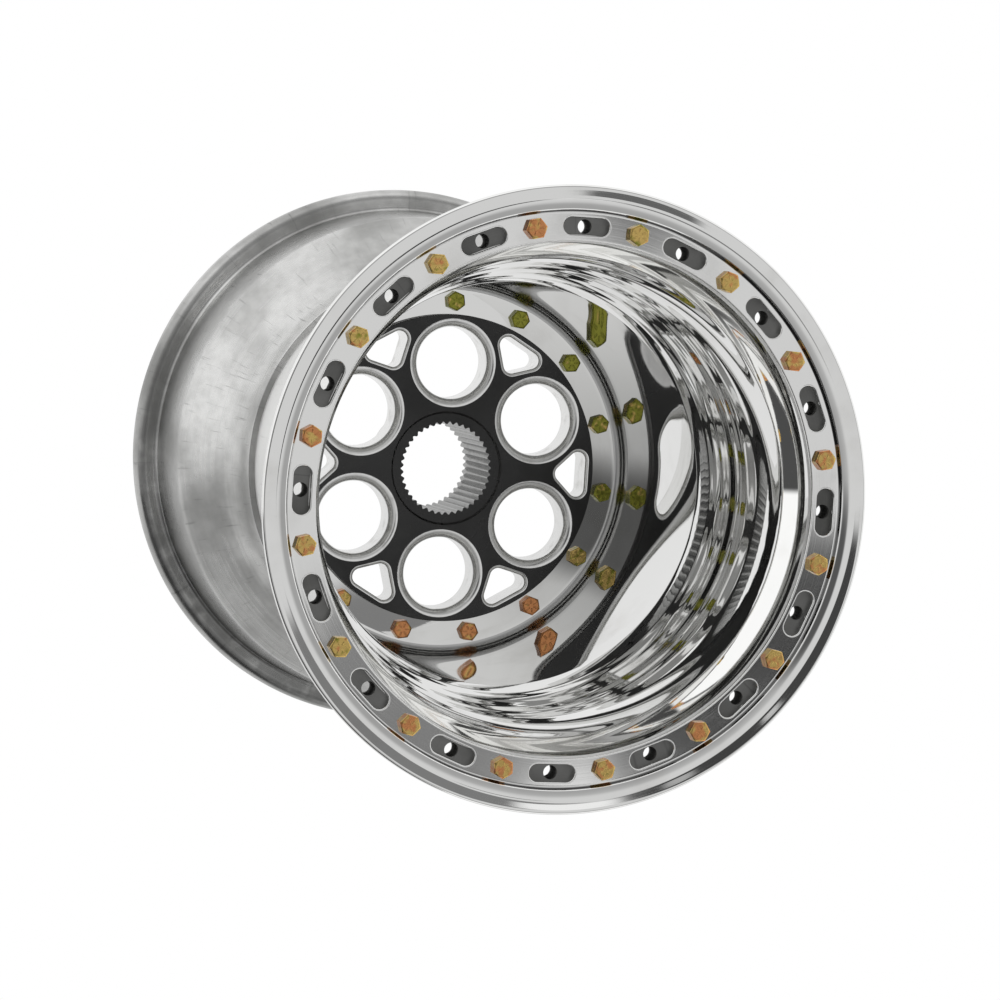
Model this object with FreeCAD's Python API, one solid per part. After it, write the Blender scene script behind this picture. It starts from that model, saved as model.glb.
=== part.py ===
import FreeCAD, Part
import math
import os

# Sprint car rear wheel: two spun halves bolted to a splined centre, with a bead lock on the outer half.
# The axle runs along Z. The wheel stands on the edge of its inner rim, bead lock up, and its back edge is Z = 0.
# All sizes are millimetres, and all angles are degrees.

# Sheet of the two halves
wall = 5.0
inside_fillet = 5.0
edge_round = 1.0
flange_bore_radius = 113.5

# Inner half, measured on the side that carries the tyre
joint_height = 145.0
joint_land = 23.4
inner_barrel_taper = 2.9
inner_barrel_height = 118.0
inner_barrel_sweep = 45.0
inner_seat_front_radius = 184.0
inner_seat_front_height = 74.0
inner_seat_shoulder = 8.0
inner_seat_back_radius = 188.6
inner_flange_height = 13.5
inner_flange_radius = 204.6
inner_flange_foot = 4.0
inner_flange_roll = 8.6

# Outer half, measured on the polished inside of the dish
dish_foot_land = 14.2
dish_foot_fillet = 6.0
dish_wall_length = 160.0
dish_taper = 3.1
dish_crease = 15.0
bell_slope = 4.5
bell_run = 0.5
bell_sweep = 115.0
rise_slope = 17.0
rise_run = 30.5
hollow_sweep = 125.0
throat_slope = 3.0
throat_run = 29.36
flare_length = 10.5
flare_width = 8.5
flare_bend = 3.0
neck_length = 16.5

# Seal ring between the halves
seal_groove_land = 3.5
seal_groove_width = 3.6
seal_groove_depth = 2.0
seal_side_gap = 0.3

# Bead lock
lock_plate = 4.5
lock_bore_step = 1.0
lock_inner_land = 9.5
lock_outer_land = 9.5
lock_foot_width = 1.4
lock_foot_rise = 3.4
lock_foot_round = 0.8
lock_step_sweep = 12.0
lock_step_width = 7.0
lock_lip_width = 10.5
lock_lip_rise = 10.0
lock_lip_thickness = 5.0
lock_lip_round = 2.0
lock_bolt_count = 16
slot_length = 31.5
slot_width = 11.8
slot_bevel = 1.0
base_ring_depth = 16.0
base_ring_shoulder_width = 7.5
base_ring_shoulder = 5.0
spare_hole_diameter = 9.525
weld_leg = 5.0
weld_toe = 1.2
weld_crown = 1.8

# Five-sixteenths inch fasteners
thread_diameter = 7.94
thread_gap = 0.05
hole_gap = 0.4
head_across_flats = 12.7
head_height = 5.2
head_chamfer = 0.9
thread_engagement = 14.5
thread_end = 1.6
washer_diameter = 17.5
washer_thickness = 1.6
nut_height = 6.8
head_turn_step = 23.0

# Splined centre
centre_bolt_count = 15
centre_bolt_land = 9.7
centre_bolt_angle = 6.62
centre_thickness = 26.0
centre_rim_land = 9.8
centre_rim_thickness = 10.0
pilot_gap = 0.2
pilot_chamfer = 0.3
hub_length = 69.85
hub_radius = 41.3
hub_fillet = 6.0
hub_chamfer = 1.5
nut_seat_radius = 42.0
nut_seat_depth = 1.5
window_count = 6
window_angle = 18.62
window_circle_radius = 77.8
window_radius = 26.4
window_edge_round = 6.2
corner_window_inner_radius = 84.6
corner_window_land = 5.9
corner_window_width = 33.2
corner_window_round = 6.0
corner_window_edge_round = 2.4

# Forty-two tooth spline
spline_teeth = 42
spline_pitch_radius = 33.34
spline_addendum = 0.79
spline_dedendum = 1.07
spline_flank_angle = 40.0

# Tyre valve, on the wall of the dish
valve_angle = 157.5
valve_rise = 85.0
valve_hole_radius = 5.75
valve_stem_radius = 4.1
valve_base_radius = 8.5
valve_base_thickness = 2.0
valve_seal_thickness = 3.0
valve_washer_radius = 8.0
valve_washer_thickness = 1.8
valve_washer_skirt = 0.3
valve_nut_flats = 12.0
valve_nut_height = 5.0
valve_reach = 20.0
valve_cap_radius = 5.2
valve_cap_length = 11.0
valve_cap_top = 2.5
valve_gap = 0.05

# Sizes that follow from the ones above
axis_origin = FreeCAD.Vector(0, 0, 0)
axis_up = FreeCAD.Vector(0, 0, 1)
thread_radius = thread_diameter / 2
bolt_hole_radius = thread_radius + hole_gap
tapped_hole_radius = thread_radius + thread_gap
flange_face_height = joint_height + wall
pilot_radius = flange_bore_radius - pilot_gap
corner_window_outer_radius = pilot_radius - corner_window_land
centre_bolt_circle_radius = flange_bore_radius + centre_bolt_land
centre_rim_radius = centre_bolt_circle_radius + centre_rim_land
seal_groove_radius = centre_rim_radius + seal_groove_land
joint_radius = centre_bolt_circle_radius + joint_land
inner_barrel_radius = joint_radius + inner_barrel_taper
dish_foot_radius = centre_bolt_circle_radius + dish_foot_land
dish_wall_radius = dish_foot_radius + dish_taper
rim_face_height = joint_height - wall
rim_back_height = rim_face_height - centre_rim_thickness
centre_face_height = rim_back_height + centre_thickness
hub_back_height = centre_face_height - hub_length
valve_height = flange_face_height + valve_rise
lock_bolt_length = lock_plate + thread_engagement
centre_bolt_length = wall * 2 + centre_rim_thickness + washer_thickness + nut_height + thread_end


def along(start, slope, length):
    """The corner a length away from a corner, along a line that leaves the axle's direction by a slope."""
    angle = math.radians(slope)
    return start[0] + length * math.sin(angle), start[1] + length * math.cos(angle)


def bend_reach(sweep, slope_change):
    """How far a bend of that radius reaches along each of its two lines from their corner."""
    return sweep * math.tan(math.radians(abs(slope_change)) / 2)


# Corners of the dish's polished face, from its flange to the plane that the bead lock bolts against
wall_end = (dish_wall_radius, flange_face_height + dish_wall_length)
wall_slope = math.degrees(math.atan2(dish_wall_radius - dish_foot_radius, dish_wall_length))
crease_reach = bend_reach(dish_crease, bell_slope - wall_slope)
bell_reach = bend_reach(bell_sweep, rise_slope - bell_slope)
hollow_reach = bend_reach(hollow_sweep, rise_slope - throat_slope)
bell = along(wall_end, bell_slope, crease_reach + bell_run + bell_reach)
rise = along(bell, rise_slope, bell_reach + rise_run + hollow_reach)
throat = along(rise, throat_slope, hollow_reach + throat_run)
flare = (throat[0] + flare_width, throat[1] + flare_length)
lock_plane_height = flare[1] + neck_length
lock_face_height = lock_plane_height + lock_plate
base_ring_back_height = lock_plane_height - base_ring_depth
flare_radius = flare[0]
base_ring_bore_radius = flare_radius + wall
lock_bore_radius = flare_radius + lock_bore_step
lock_circle_radius = lock_bore_radius + lock_inner_land
lock_face_radius = lock_circle_radius + lock_outer_land
lock_lip_inner_radius = lock_face_radius + lock_step_width
lock_lip_radius = lock_lip_inner_radius + lock_lip_width
base_ring_shoulder_radius = lock_face_radius + base_ring_shoulder_width


def section_point(radius, height):
    """A point of a turned section: radius from the axle, height along it."""
    return FreeCAD.Vector(radius, 0, height)


def rounded_face(corners):
    """Closed section through corners (radius, height, rounding), with tangent arcs at the rounded ones."""
    stretches = []
    count = len(corners)
    for index in range(count):
        here = section_point(*corners[index][:2])
        rounding = corners[index][2]
        to_last = (section_point(*corners[index - 1][:2]) - here).normalize()
        to_next = (section_point(*corners[(index + 1) % count][:2]) - here).normalize()
        if rounding <= 0:
            stretches.append((here, None, here))
            continue
        half_angle = to_last.getAngle(to_next) / 2
        reach = rounding / math.tan(half_angle)
        middle_reach = rounding / math.sin(half_angle) - rounding
        bisector = (to_last + to_next).normalize()
        stretches.append((here + to_last * reach, here + bisector * middle_reach, here + to_next * reach))
    edges = []
    for index in range(count):
        start, middle, end = stretches[index]
        if middle is not None:
            edges.append(Part.Arc(start, middle, end).toShape())
        following = stretches[(index + 1) % count][0]
        edges.append(Part.LineSegment(end, following).toShape())
    return Part.Face(Part.Wire(edges))


def turned(corners):
    """Solid of revolution about the axle."""
    return rounded_face(corners).revolve(axis_origin, axis_up, 360)


def sheet_corners(line, thickness):
    """Closed section of bent sheet, from the line of its near face.

    Each point of the line is (radius, height, near rounding, far rounding). A far rounding of None follows the
    near one at the sheet's thickness. The far face lies to the right of the line's direction.
    """
    count = len(line)
    directions = []
    for index in range(count - 1):
        run = section_point(*line[index + 1][:2]) - section_point(*line[index][:2])
        directions.append(run.normalize())
    near = []
    far = []
    for index in range(count):
        radius, height, near_rounding, far_rounding = line[index]
        before = directions[max(index - 1, 0)]
        after = directions[min(index, count - 2)]
        side_before = FreeCAD.Vector(before.z, 0, -before.x)
        side_after = FreeCAD.Vector(after.z, 0, -after.x)
        middle_side = (side_before + side_after).normalize()
        offset = middle_side * (thickness / middle_side.dot(side_before))
        turn = before.x * after.z - before.z * after.x
        if far_rounding is None and turn > 0:
            far_rounding = near_rounding + thickness
        elif far_rounding is None:
            far_rounding = max(near_rounding - thickness, inside_fillet)
        near.append((radius, height, near_rounding))
        far.append((radius + offset.x, height + offset.z, far_rounding))
    return near + far[::-1]


def round_about(shape, count, radius, height, first_angle, turn_step=0.0):
    """Copies of a shape on a circle round the axle, each turned a little further about its own axis."""
    copies = []
    for index in range(count):
        copy = shape.copy()
        copy.rotate(axis_origin, axis_up, turn_step * index)
        copy.translate(FreeCAD.Vector(radius, 0, height))
        copy.rotate(axis_origin, axis_up, first_angle + 360 / count * index)
        copies.append(copy)
    return copies


def hexagon_prism(across_flats, height):
    """Six-sided bar standing on Z = 0."""
    corner_radius = across_flats / math.sqrt(3)
    corners = []
    for index in range(7):
        angle = math.radians(60 * index)
        corners.append(FreeCAD.Vector(corner_radius * math.cos(angle), corner_radius * math.sin(angle), 0))
    return Part.Face(Part.makePolygon(corners)).extrude(axis_up * height)


def chamfered_hexagon(across_flats, height, chamfer):
    """Hexagon whose top corners are turned off to a cone."""
    corner_radius = across_flats / math.sqrt(3)
    slope_height = chamfer + corner_radius - across_flats / 2
    straight = Part.makeCylinder(corner_radius, height - chamfer)
    cone = Part.makeCone(corner_radius, corner_radius - slope_height, chamfer)
    cone.translate(axis_up * (height - chamfer))
    return hexagon_prism(across_flats, height).common(straight.fuse(cone))


def hexagon_bolt(length):
    """Bolt whose head stands on Z = 0 and whose shank hangs below it."""
    head = chamfered_hexagon(head_across_flats, head_height, head_chamfer)
    tip = thread_radius - head_chamfer
    shank = Part.makeCylinder(thread_radius, length - head_chamfer)
    shank.translate(axis_up * (head_chamfer - length))
    point = Part.makeCone(tip, thread_radius, head_chamfer)
    point.translate(axis_up * -length)
    return head.fuse([shank, point]).removeSplitter()


def inner_half():
    """Raw spun half behind the centre: joint flange, barrel, bead seat and rolled rim edge."""
    line = [
        (flange_bore_radius, joint_height, 0, 0),
        (joint_radius, joint_height, edge_round, None),
        (inner_barrel_radius, inner_barrel_height, inner_barrel_sweep, None),
        (inner_seat_front_radius, inner_seat_front_height, inner_seat_shoulder, None),
        (inner_seat_back_radius, inner_flange_height, inner_flange_foot, None),
        (inner_flange_radius, inner_flange_height, inner_flange_roll, None),
        (inner_flange_radius, 0, 0, 0),
    ]
    drill = Part.makeCylinder(bolt_hole_radius, wall * 3)
    holes = round_about(drill, centre_bolt_count, centre_bolt_circle_radius, joint_height - wall * 2,
                        centre_bolt_angle)
    return turned(sheet_corners(line, wall)).cut(holes)


def dish_line():
    """Line of the dish's polished face: flange, wall, bell, hollow, throat, flare and neck."""
    return [
        (flange_bore_radius, flange_face_height, 0, 0),
        (dish_foot_radius, flange_face_height, dish_foot_fillet, edge_round),
        (*wall_end, dish_crease, None),
        (*bell, bell_sweep, None),
        (*rise, hollow_sweep, None),
        (*throat, flare_bend, None),
        (*flare, flare_bend, None),
        (flare_radius, lock_plane_height, 0, 0),
    ]


def dish_radius(height):
    """Radius of the dish's wall inside, at a height on its straight stretch."""
    share = (height - flange_face_height) / dish_wall_length
    return dish_foot_radius + (dish_wall_radius - dish_foot_radius) * share


def seal_section(side_gap):
    """Ring that fills the seal groove's depth, with a gap at each side."""
    half_width = seal_groove_width / 2 - side_gap
    low = seal_groove_radius - half_width
    high = seal_groove_radius + half_width
    top = joint_height + seal_groove_depth
    rounding = side_gap * 2
    return turned([(low, joint_height, rounding), (high, joint_height, rounding), (high, top, rounding),
                   (low, top, rounding)])


def outer_half():
    """Polished spun half in front of the centre, with its seal groove, bolt holes and valve hole."""
    body = turned(sheet_corners(dish_line(), wall))
    drill = Part.makeCylinder(bolt_hole_radius, wall * 3)
    holes = round_about(drill, centre_bolt_count, centre_bolt_circle_radius, joint_height - wall,
                        centre_bolt_angle)
    valve_hole = valve_frame(Part.makeCylinder(valve_hole_radius, wall * 4, axis_up * (-wall * 2)))
    return body.cut(holes + [valve_hole, seal_section(0)])


def spline_cutter():
    """Bar with the spline's spaces: straight flanks at the flank angle to each tooth's centre line."""
    pitch = 2 * math.pi * spline_pitch_radius / spline_teeth
    lean = math.tan(math.radians(spline_flank_angle))
    tip_radius = spline_pitch_radius - spline_addendum
    root_radius = spline_pitch_radius + spline_dedendum
    tip_half = (pitch / 4 + spline_addendum * lean) / tip_radius
    root_half = (pitch / 4 - spline_dedendum * lean) / root_radius
    corners = []
    for index in range(spline_teeth):
        middle = 2 * math.pi * index / spline_teeth
        flank = [(tip_radius, -tip_half), (root_radius, -root_half), (root_radius, root_half),
                 (tip_radius, tip_half)]
        for radius, angle in flank:
            corners.append(FreeCAD.Vector(radius * math.cos(middle + angle), radius * math.sin(middle + angle), 0))
    corners.append(corners[0])
    bar = Part.Face(Part.makePolygon(corners)).extrude(axis_up * (hub_length * 2))
    bar.translate(axis_up * (hub_back_height - hub_length / 2))
    return bar


def corner_window_wire(growth, height):
    """Outline of a corner window, grown all round: a triangle with round corners that points at the axle."""
    rounding = corner_window_round + growth
    half_width = corner_window_width / 2 - corner_window_round
    apex = (corner_window_inner_radius + corner_window_round, 0.0)
    base_high = (corner_window_outer_radius - corner_window_round, half_width)
    base_low = (corner_window_outer_radius - corner_window_round, -half_width)
    centres = [apex, base_low, base_high]
    edges = []
    corners = []
    for index in range(3):
        here = FreeCAD.Vector(*centres[index], height)
        last = FreeCAD.Vector(*centres[index - 1], height)
        following = FreeCAD.Vector(*centres[(index + 1) % 3], height)
        into = (here - last).normalize()
        out = (following - here).normalize()
        start = here + FreeCAD.Vector(into.y, -into.x, 0) * rounding
        end = here + FreeCAD.Vector(out.y, -out.x, 0) * rounding
        middle = here + (into - out).normalize() * rounding
        corners.append((start, middle, end))
    for index in range(3):
        start, middle, end = corners[index]
        edges.append(Part.Arc(start, middle, end).toShape())
        edges.append(Part.LineSegment(end, corners[(index + 1) % 3][0]).toShape())
    return Part.Wire(edges)


def corner_window_cutter():
    """Through cut of one corner window, with what a frame round its edge leaves open at the front."""
    depth = centre_face_height - rim_back_height
    frame_width = corner_window_edge_round * 2
    through = Part.Face(corner_window_wire(0, rim_back_height - depth)).extrude(axis_up * (depth * 3))
    foot_wire = corner_window_wire(frame_width, centre_face_height - frame_width)
    plate = Part.Face(foot_wire).extrude(axis_up * frame_width)
    frame = plate.cut(through)
    front = max(frame.Faces, key=lambda face: face.CenterOfMass.z)
    edge = [wire for wire in front.Wires if not wire.isSame(front.OuterWire)][0]
    frame = frame.makeFillet(corner_window_edge_round, edge.Edges)
    return through.fuse(plate.cut(frame))


def window_cutter():
    """Through cut of one round window, with a round front edge and a bevel at the back."""
    depth = centre_face_height - rim_back_height
    flare_edge = window_radius + window_edge_round * 2
    return turned([
        (0, rim_back_height - depth, 0),
        (window_radius + edge_round, rim_back_height - depth, 0),
        (window_radius + edge_round, rim_back_height, 0),
        (window_radius, rim_back_height + edge_round, 0),
        (window_radius, centre_face_height, window_edge_round),
        (flare_edge, centre_face_height, 0),
        (flare_edge, centre_face_height + depth, 0),
        (0, centre_face_height + depth, 0),
    ])


def wheel_centre():
    """Black centre: splined hub, web with its windows, pilot and bolting rim, turned as one piece."""
    seat_height = centre_face_height - nut_seat_depth
    body = turned([
        (0, hub_back_height, 0),
        (hub_radius - hub_chamfer, hub_back_height, 0),
        (hub_radius, hub_back_height + hub_chamfer, 0),
        (hub_radius, rim_back_height, min(hub_fillet, window_circle_radius - window_radius - hub_radius)),
        (centre_rim_radius, rim_back_height, edge_round),
        (centre_rim_radius, rim_face_height, edge_round),
        (pilot_radius, rim_face_height, 0),
        (pilot_radius, centre_face_height - pilot_chamfer, 0),
        (pilot_radius - pilot_chamfer, centre_face_height, 0),
        (nut_seat_radius, centre_face_height, 0),
        (nut_seat_radius - nut_seat_depth, seat_height, 0),
        (0, seat_height, 0),
    ])
    drill = Part.makeCylinder(bolt_hole_radius, centre_rim_thickness * 2)
    cuts = round_about(drill, centre_bolt_count, centre_bolt_circle_radius,
                       rim_back_height - centre_rim_thickness / 2, centre_bolt_angle)
    cuts += round_about(window_cutter(), window_count, window_circle_radius, 0, window_angle)
    cuts += round_about(corner_window_cutter(), window_count, 0, 0, window_angle + 180 / window_count)
    return body.cut(cuts + [spline_cutter()])


def slot_wire(growth, height):
    """Outline of a bead lock slot, grown all round: two half circles and two straight sides."""
    half_width = slot_width / 2 + growth
    half_run = (slot_length - slot_width) / 2
    corners = []
    for side, end in ((1, 1), (-1, 1), (-1, -1), (1, -1)):
        corners.append(FreeCAD.Vector(side * half_width, end * half_run, height))
    top = FreeCAD.Vector(0, half_run + half_width, height)
    bottom = FreeCAD.Vector(0, -half_run - half_width, height)
    edges = [
        Part.Arc(corners[0], top, corners[1]).toShape(),
        Part.LineSegment(corners[1], corners[2]).toShape(),
        Part.Arc(corners[2], bottom, corners[3]).toShape(),
        Part.LineSegment(corners[3], corners[0]).toShape(),
    ]
    return Part.Wire(edges)


def slot_cutter():
    """Through cut of one slot at Z = 0 of the lock plate's back, with its front bevel."""
    through = Part.Face(slot_wire(0, -lock_plate)).extrude(axis_up * (lock_plate * 3))
    bevel = Part.makeLoft([slot_wire(0, lock_plate - slot_bevel), slot_wire(slot_bevel, lock_plate)], True, True)
    return through.fuse(bevel)


def beadlock_ring():
    """Polished ring that clamps the tyre's bead: flat bolting face, steep foot, gentle rise and broad lip."""
    lip_front = lock_plane_height + lock_lip_rise
    lip_back = lip_front - lock_lip_thickness
    body = turned([
        (lock_bore_radius, lock_plane_height, 0),
        (lock_face_radius, lock_plane_height, inside_fillet),
        (lock_lip_inner_radius, lip_back, inside_fillet),
        (lock_lip_radius, lip_back, lock_lip_round),
        (lock_lip_radius, lip_front, lock_lip_round),
        (lock_lip_inner_radius, lip_front, lock_step_sweep),
        (lock_face_radius + lock_foot_width, lock_face_height + lock_foot_rise, lock_lip_round),
        (lock_face_radius, lock_face_height, lock_foot_round),
        (lock_bore_radius, lock_face_height, edge_round),
    ])
    drill = Part.makeCylinder(bolt_hole_radius, lock_plate * 3, axis_up * -lock_plate)
    cuts = round_about(drill, lock_bolt_count, lock_circle_radius, lock_plane_height, 0)
    cuts += round_about(slot_cutter(), lock_bolt_count, lock_circle_radius, lock_plane_height,
                        180 / lock_bolt_count)
    return body.cut(cuts)


def beadlock_base_ring():
    """Ring welded to the outer half: bolt holes, a spare set between them, and a shoulder for the bead."""
    shoulder_height = base_ring_back_height + base_ring_shoulder
    body = turned([
        (base_ring_bore_radius, base_ring_back_height, 0),
        (base_ring_shoulder_radius, base_ring_back_height, edge_round),
        (base_ring_shoulder_radius, shoulder_height, edge_round),
        (lock_face_radius, shoulder_height, edge_round),
        (lock_face_radius, lock_plane_height, edge_round),
        (base_ring_bore_radius, lock_plane_height, 0),
    ])
    start_height = base_ring_back_height - base_ring_depth / 2
    drill = Part.makeCylinder(tapped_hole_radius, base_ring_depth * 2)
    spare_drill = Part.makeCylinder(spare_hole_diameter / 2, base_ring_depth * 2)
    holes = round_about(drill, lock_bolt_count, lock_circle_radius, start_height, 0)
    holes += round_about(spare_drill, lock_bolt_count, lock_circle_radius, start_height, 180 / lock_bolt_count)
    return body.cut(holes)


def base_ring_weld(shell):
    """Weld bead in the corner behind the base ring, laid on the outer half."""
    under_shell = base_ring_bore_radius - wall
    bead = turned([
        (under_shell, base_ring_back_height, 0),
        (under_shell, base_ring_back_height - weld_leg, 0),
        (base_ring_bore_radius, base_ring_back_height - weld_leg, weld_crown),
        (base_ring_bore_radius + weld_toe, base_ring_back_height, 0),
    ])
    pieces = bead.cut(shell).Solids
    return max(pieces, key=lambda piece: piece.BoundBox.XLength)


def valve_frame(shape):
    """Sets a shape with its foot on the dish's wall inside and its +Z towards the axle."""
    placed = shape.copy()
    placed.rotate(axis_origin, FreeCAD.Vector(0, 1, 0), -90)
    placed.translate(FreeCAD.Vector(dish_radius(valve_height), 0, valve_height))
    placed.rotate(axis_origin, axis_up, valve_angle)
    return placed


def post(radius, low, high):
    """Round bar on the valve's axis between two depths."""
    return Part.makeCylinder(radius, high - low, axis_up * low)


def valve_pieces(shell):
    """Clamped tyre valve: flanged stem, rubber seal, shaped washer, nut and cap."""
    seal_foot = -wall - valve_seal_thickness
    base_foot = seal_foot - valve_base_thickness
    stem_hole = valve_stem_radius + valve_gap
    stem = post(valve_base_radius, base_foot, seal_foot).fuse(post(valve_stem_radius, seal_foot, valve_reach))
    nut_foot = valve_washer_thickness
    nut = chamfered_hexagon(valve_nut_flats, valve_nut_height, edge_round)
    nut.translate(axis_up * nut_foot)
    cap_top = valve_reach + valve_cap_top
    cap = post(valve_cap_radius, cap_top - valve_cap_length, cap_top)
    cap = cap.cut(post(stem_hole, cap_top - valve_cap_length, valve_reach))
    bore = post(stem_hole, base_foot, cap_top)
    seal = post(valve_base_radius, seal_foot, -wall / 2).cut(bore)
    washer = post(valve_washer_radius, -valve_washer_skirt, nut_foot).cut(bore)
    return {
        "valve_stem": valve_frame(stem.removeSplitter()),
        "valve_seal": valve_frame(seal).cut(shell),
        "valve_washer": valve_frame(washer).cut(shell),
        "valve_nut": valve_frame(nut.cut(bore)),
        "valve_cap": valve_frame(cap),
    }


def washer():
    """Flat washer standing on Z = 0."""
    return Part.makeCylinder(washer_diameter / 2, washer_thickness).cut(
        Part.makeCylinder(bolt_hole_radius, washer_thickness))


def nut():
    """Hexagon nut standing on Z = 0."""
    return chamfered_hexagon(head_across_flats, nut_height, head_chamfer).cut(
        Part.makeCylinder(tapped_hole_radius, nut_height))


def upside_down(shape):
    """The same shape hanging below Z = 0."""
    turned_over = shape.copy()
    turned_over.rotate(axis_origin, FreeCAD.Vector(1, 0, 0), 180)
    return turned_over


def on_centre_circle(shape, height):
    """One copy of a fastener at each bolt of the centre."""
    return Part.makeCompound(round_about(shape, centre_bolt_count, centre_bolt_circle_radius, height,
                                         centre_bolt_angle, head_turn_step))


def wheel():
    """Every piece of the wheel, by name."""
    shell = outer_half()
    pieces = {
        "wheel_centre": wheel_centre(),
        "outer_half": shell,
        "inner_half": inner_half(),
        "joint_seal": seal_section(seal_side_gap),
        "beadlock_base_ring": beadlock_base_ring(),
        "base_ring_weld": base_ring_weld(shell),
        "beadlock_ring": beadlock_ring(),
        "beadlock_bolts": Part.makeCompound(
            round_about(hexagon_bolt(lock_bolt_length), lock_bolt_count, lock_circle_radius, lock_face_height, 0,
                        head_turn_step)),
        "centre_bolts": on_centre_circle(hexagon_bolt(centre_bolt_length), flange_face_height),
        "centre_washers": on_centre_circle(upside_down(washer()), rim_back_height),
        "centre_nuts": on_centre_circle(upside_down(nut()), rim_back_height - washer_thickness),
    }
    pieces.update(valve_pieces(shell))
    return pieces


os.makedirs("parts", exist_ok=True)
for name, shape in wheel().items():
    shape.exportStep("parts/" + name + ".step")
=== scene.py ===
"""Looks of a sprint car wheel: polished outer half and bead lock, raw inner half and black splined centre.

Sizes are millimetres, and angles are degrees. The axle runs along Z, and the wheel stands on the edge of
its inner rim with the bead lock up. Lengths become metres only in meshes, node trees and the camera.
"""

import logging
import math
from dataclasses import dataclass, field, fields
from enum import Enum
from typing import Any, Callable, ClassVar, Sequence

import bmesh
import bpy
import numpy as np
from mathutils import Matrix, Vector
from mathutils.geometry import delaunay_2d_cdt

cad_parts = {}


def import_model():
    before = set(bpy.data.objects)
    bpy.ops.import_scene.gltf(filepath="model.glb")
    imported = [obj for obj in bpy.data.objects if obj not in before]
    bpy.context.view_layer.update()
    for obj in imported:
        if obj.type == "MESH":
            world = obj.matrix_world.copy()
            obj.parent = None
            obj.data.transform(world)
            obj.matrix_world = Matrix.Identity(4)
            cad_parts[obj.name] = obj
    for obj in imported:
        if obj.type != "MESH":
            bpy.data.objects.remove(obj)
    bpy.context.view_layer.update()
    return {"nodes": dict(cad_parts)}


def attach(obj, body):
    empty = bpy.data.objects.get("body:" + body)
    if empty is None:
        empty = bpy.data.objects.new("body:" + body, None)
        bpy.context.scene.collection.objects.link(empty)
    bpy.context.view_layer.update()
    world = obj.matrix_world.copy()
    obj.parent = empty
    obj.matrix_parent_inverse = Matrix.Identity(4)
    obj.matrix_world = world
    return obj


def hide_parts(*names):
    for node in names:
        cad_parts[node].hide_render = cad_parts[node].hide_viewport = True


LOG = logging.getLogger("wheel")
MM = 0.001
BODY = "root"
RING_STEPS = 480
HEXAGON_STEPS = 96
ROUND_STEPS = 12
SIXTH = math.pi / 3
LINE_STEP = 7.0
ARC_TURN = math.radians(7.0)
MERGE_GAP = 2e-6
OUTLINE_GAP = 1e-5
INSIDE_ONLY = 1
SHARP_ANGLE = math.radians(28.0)
GUARD = 0.2
WHITE = (1.0, 1.0, 1.0)
CENTRE_WARM_SIDE = 268.0

Array = np.ndarray
Corner = tuple[float, float, float]
Colour = tuple[float, float, float]
Outline = Callable[[float], Array]
Socket = bpy.types.NodeSocket
Sockets = bpy.types.bpy_prop_collection


class Slot(Enum):
    """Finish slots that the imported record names."""

    BLACK = "black_anodised"
    POLISHED = "polished_aluminium"
    RAW = "raw_aluminium"
    MACHINED = "machined_aluminium"
    ZINC = "yellow_zinc"
    RUBBER = "rubber"
    BRASS = "nickel_brass"
    PLASTIC = "black_plastic"


class Facing(Enum):
    """Side of a flat plate that its face looks to."""

    FRONT = 1
    BACK = -1


# Sections and outlines


def unit(vector: Array) -> Array:
    """A vector of length one in the same direction."""
    return vector / np.linalg.norm(vector)


def angles(count: int) -> Array:
    """Equal turns round an axis, in radians, from zero."""
    return np.arange(count) * (2 * math.pi / count)


def swept(radius: Array | float, turn: Array, height: Array | float) -> Array:
    """Points round an axis: x = r cos t, y = r sin t, z = height, with the three spread over each other."""
    return np.stack(np.broadcast_arrays(radius * np.cos(turn), radius * np.sin(turn), height), -1)


def swept_rows(rows: Sequence[tuple[Array | float, Array | float]], turn: Array) -> Array:
    """A ring of points for each radius and height."""
    return np.stack([swept(radius, turn, height) for radius, height in rows])


def at_height(flat: Array, height: float) -> Array:
    """Flat points lifted to a height."""
    return np.column_stack([flat, np.full(len(flat), height)])


def rounded_line(corners: Sequence[Corner], step: float = LINE_STEP) -> Array:
    """Open section through corners, with a tangent arc at each rounded one.

    An arc of radius R touches both lines at R / tan(half the corner's angle) from the corner. Lines are
    divided into equal runs, and arcs into equal turns.

    Args:
        corners: (radius, height, rounding) of each corner, in order.
        step: Longest run of a line or an arc.

    Returns:
        Points (radius, height) along the section.
    """
    places = np.array([corner[:2] for corner in corners], float)
    stretches = []
    for index, (here, corner) in enumerate(zip(places, corners)):
        rounding = corner[2]
        if rounding <= 0 or index in (0, len(corners) - 1):
            stretches.append(here[None])
            continue
        to_last = unit(places[index - 1] - here)
        to_next = unit(places[index + 1] - here)
        half = math.acos(float(np.clip(to_last @ to_next, -1, 1))) / 2
        middle = here + unit(to_last + to_next) * rounding / math.sin(half)
        start = here + to_last * rounding / math.tan(half) - middle
        end = here + to_next * rounding / math.tan(half) - middle
        first = math.atan2(start[1], start[0])
        sweep = (math.atan2(end[1], end[0]) - first + math.pi) % (2 * math.pi) - math.pi
        count = max(3, math.ceil(abs(sweep) / ARC_TURN), math.ceil(abs(sweep) * rounding / step))
        turn = first + sweep * np.linspace(0, 1, count + 1)
        stretches.append(middle + rounding * np.stack([np.cos(turn), np.sin(turn)], 1))
    rows = [stretches[0]]
    for last, following in zip(stretches, stretches[1:]):
        start, end = last[-1], following[0]
        count = max(1, math.ceil(float(np.linalg.norm(end - start)) / step))
        share = np.linspace(0, 1, count + 1)[1:-1, None]
        rows += [start + (end - start) * share, following]
    return np.concatenate(rows)


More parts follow.
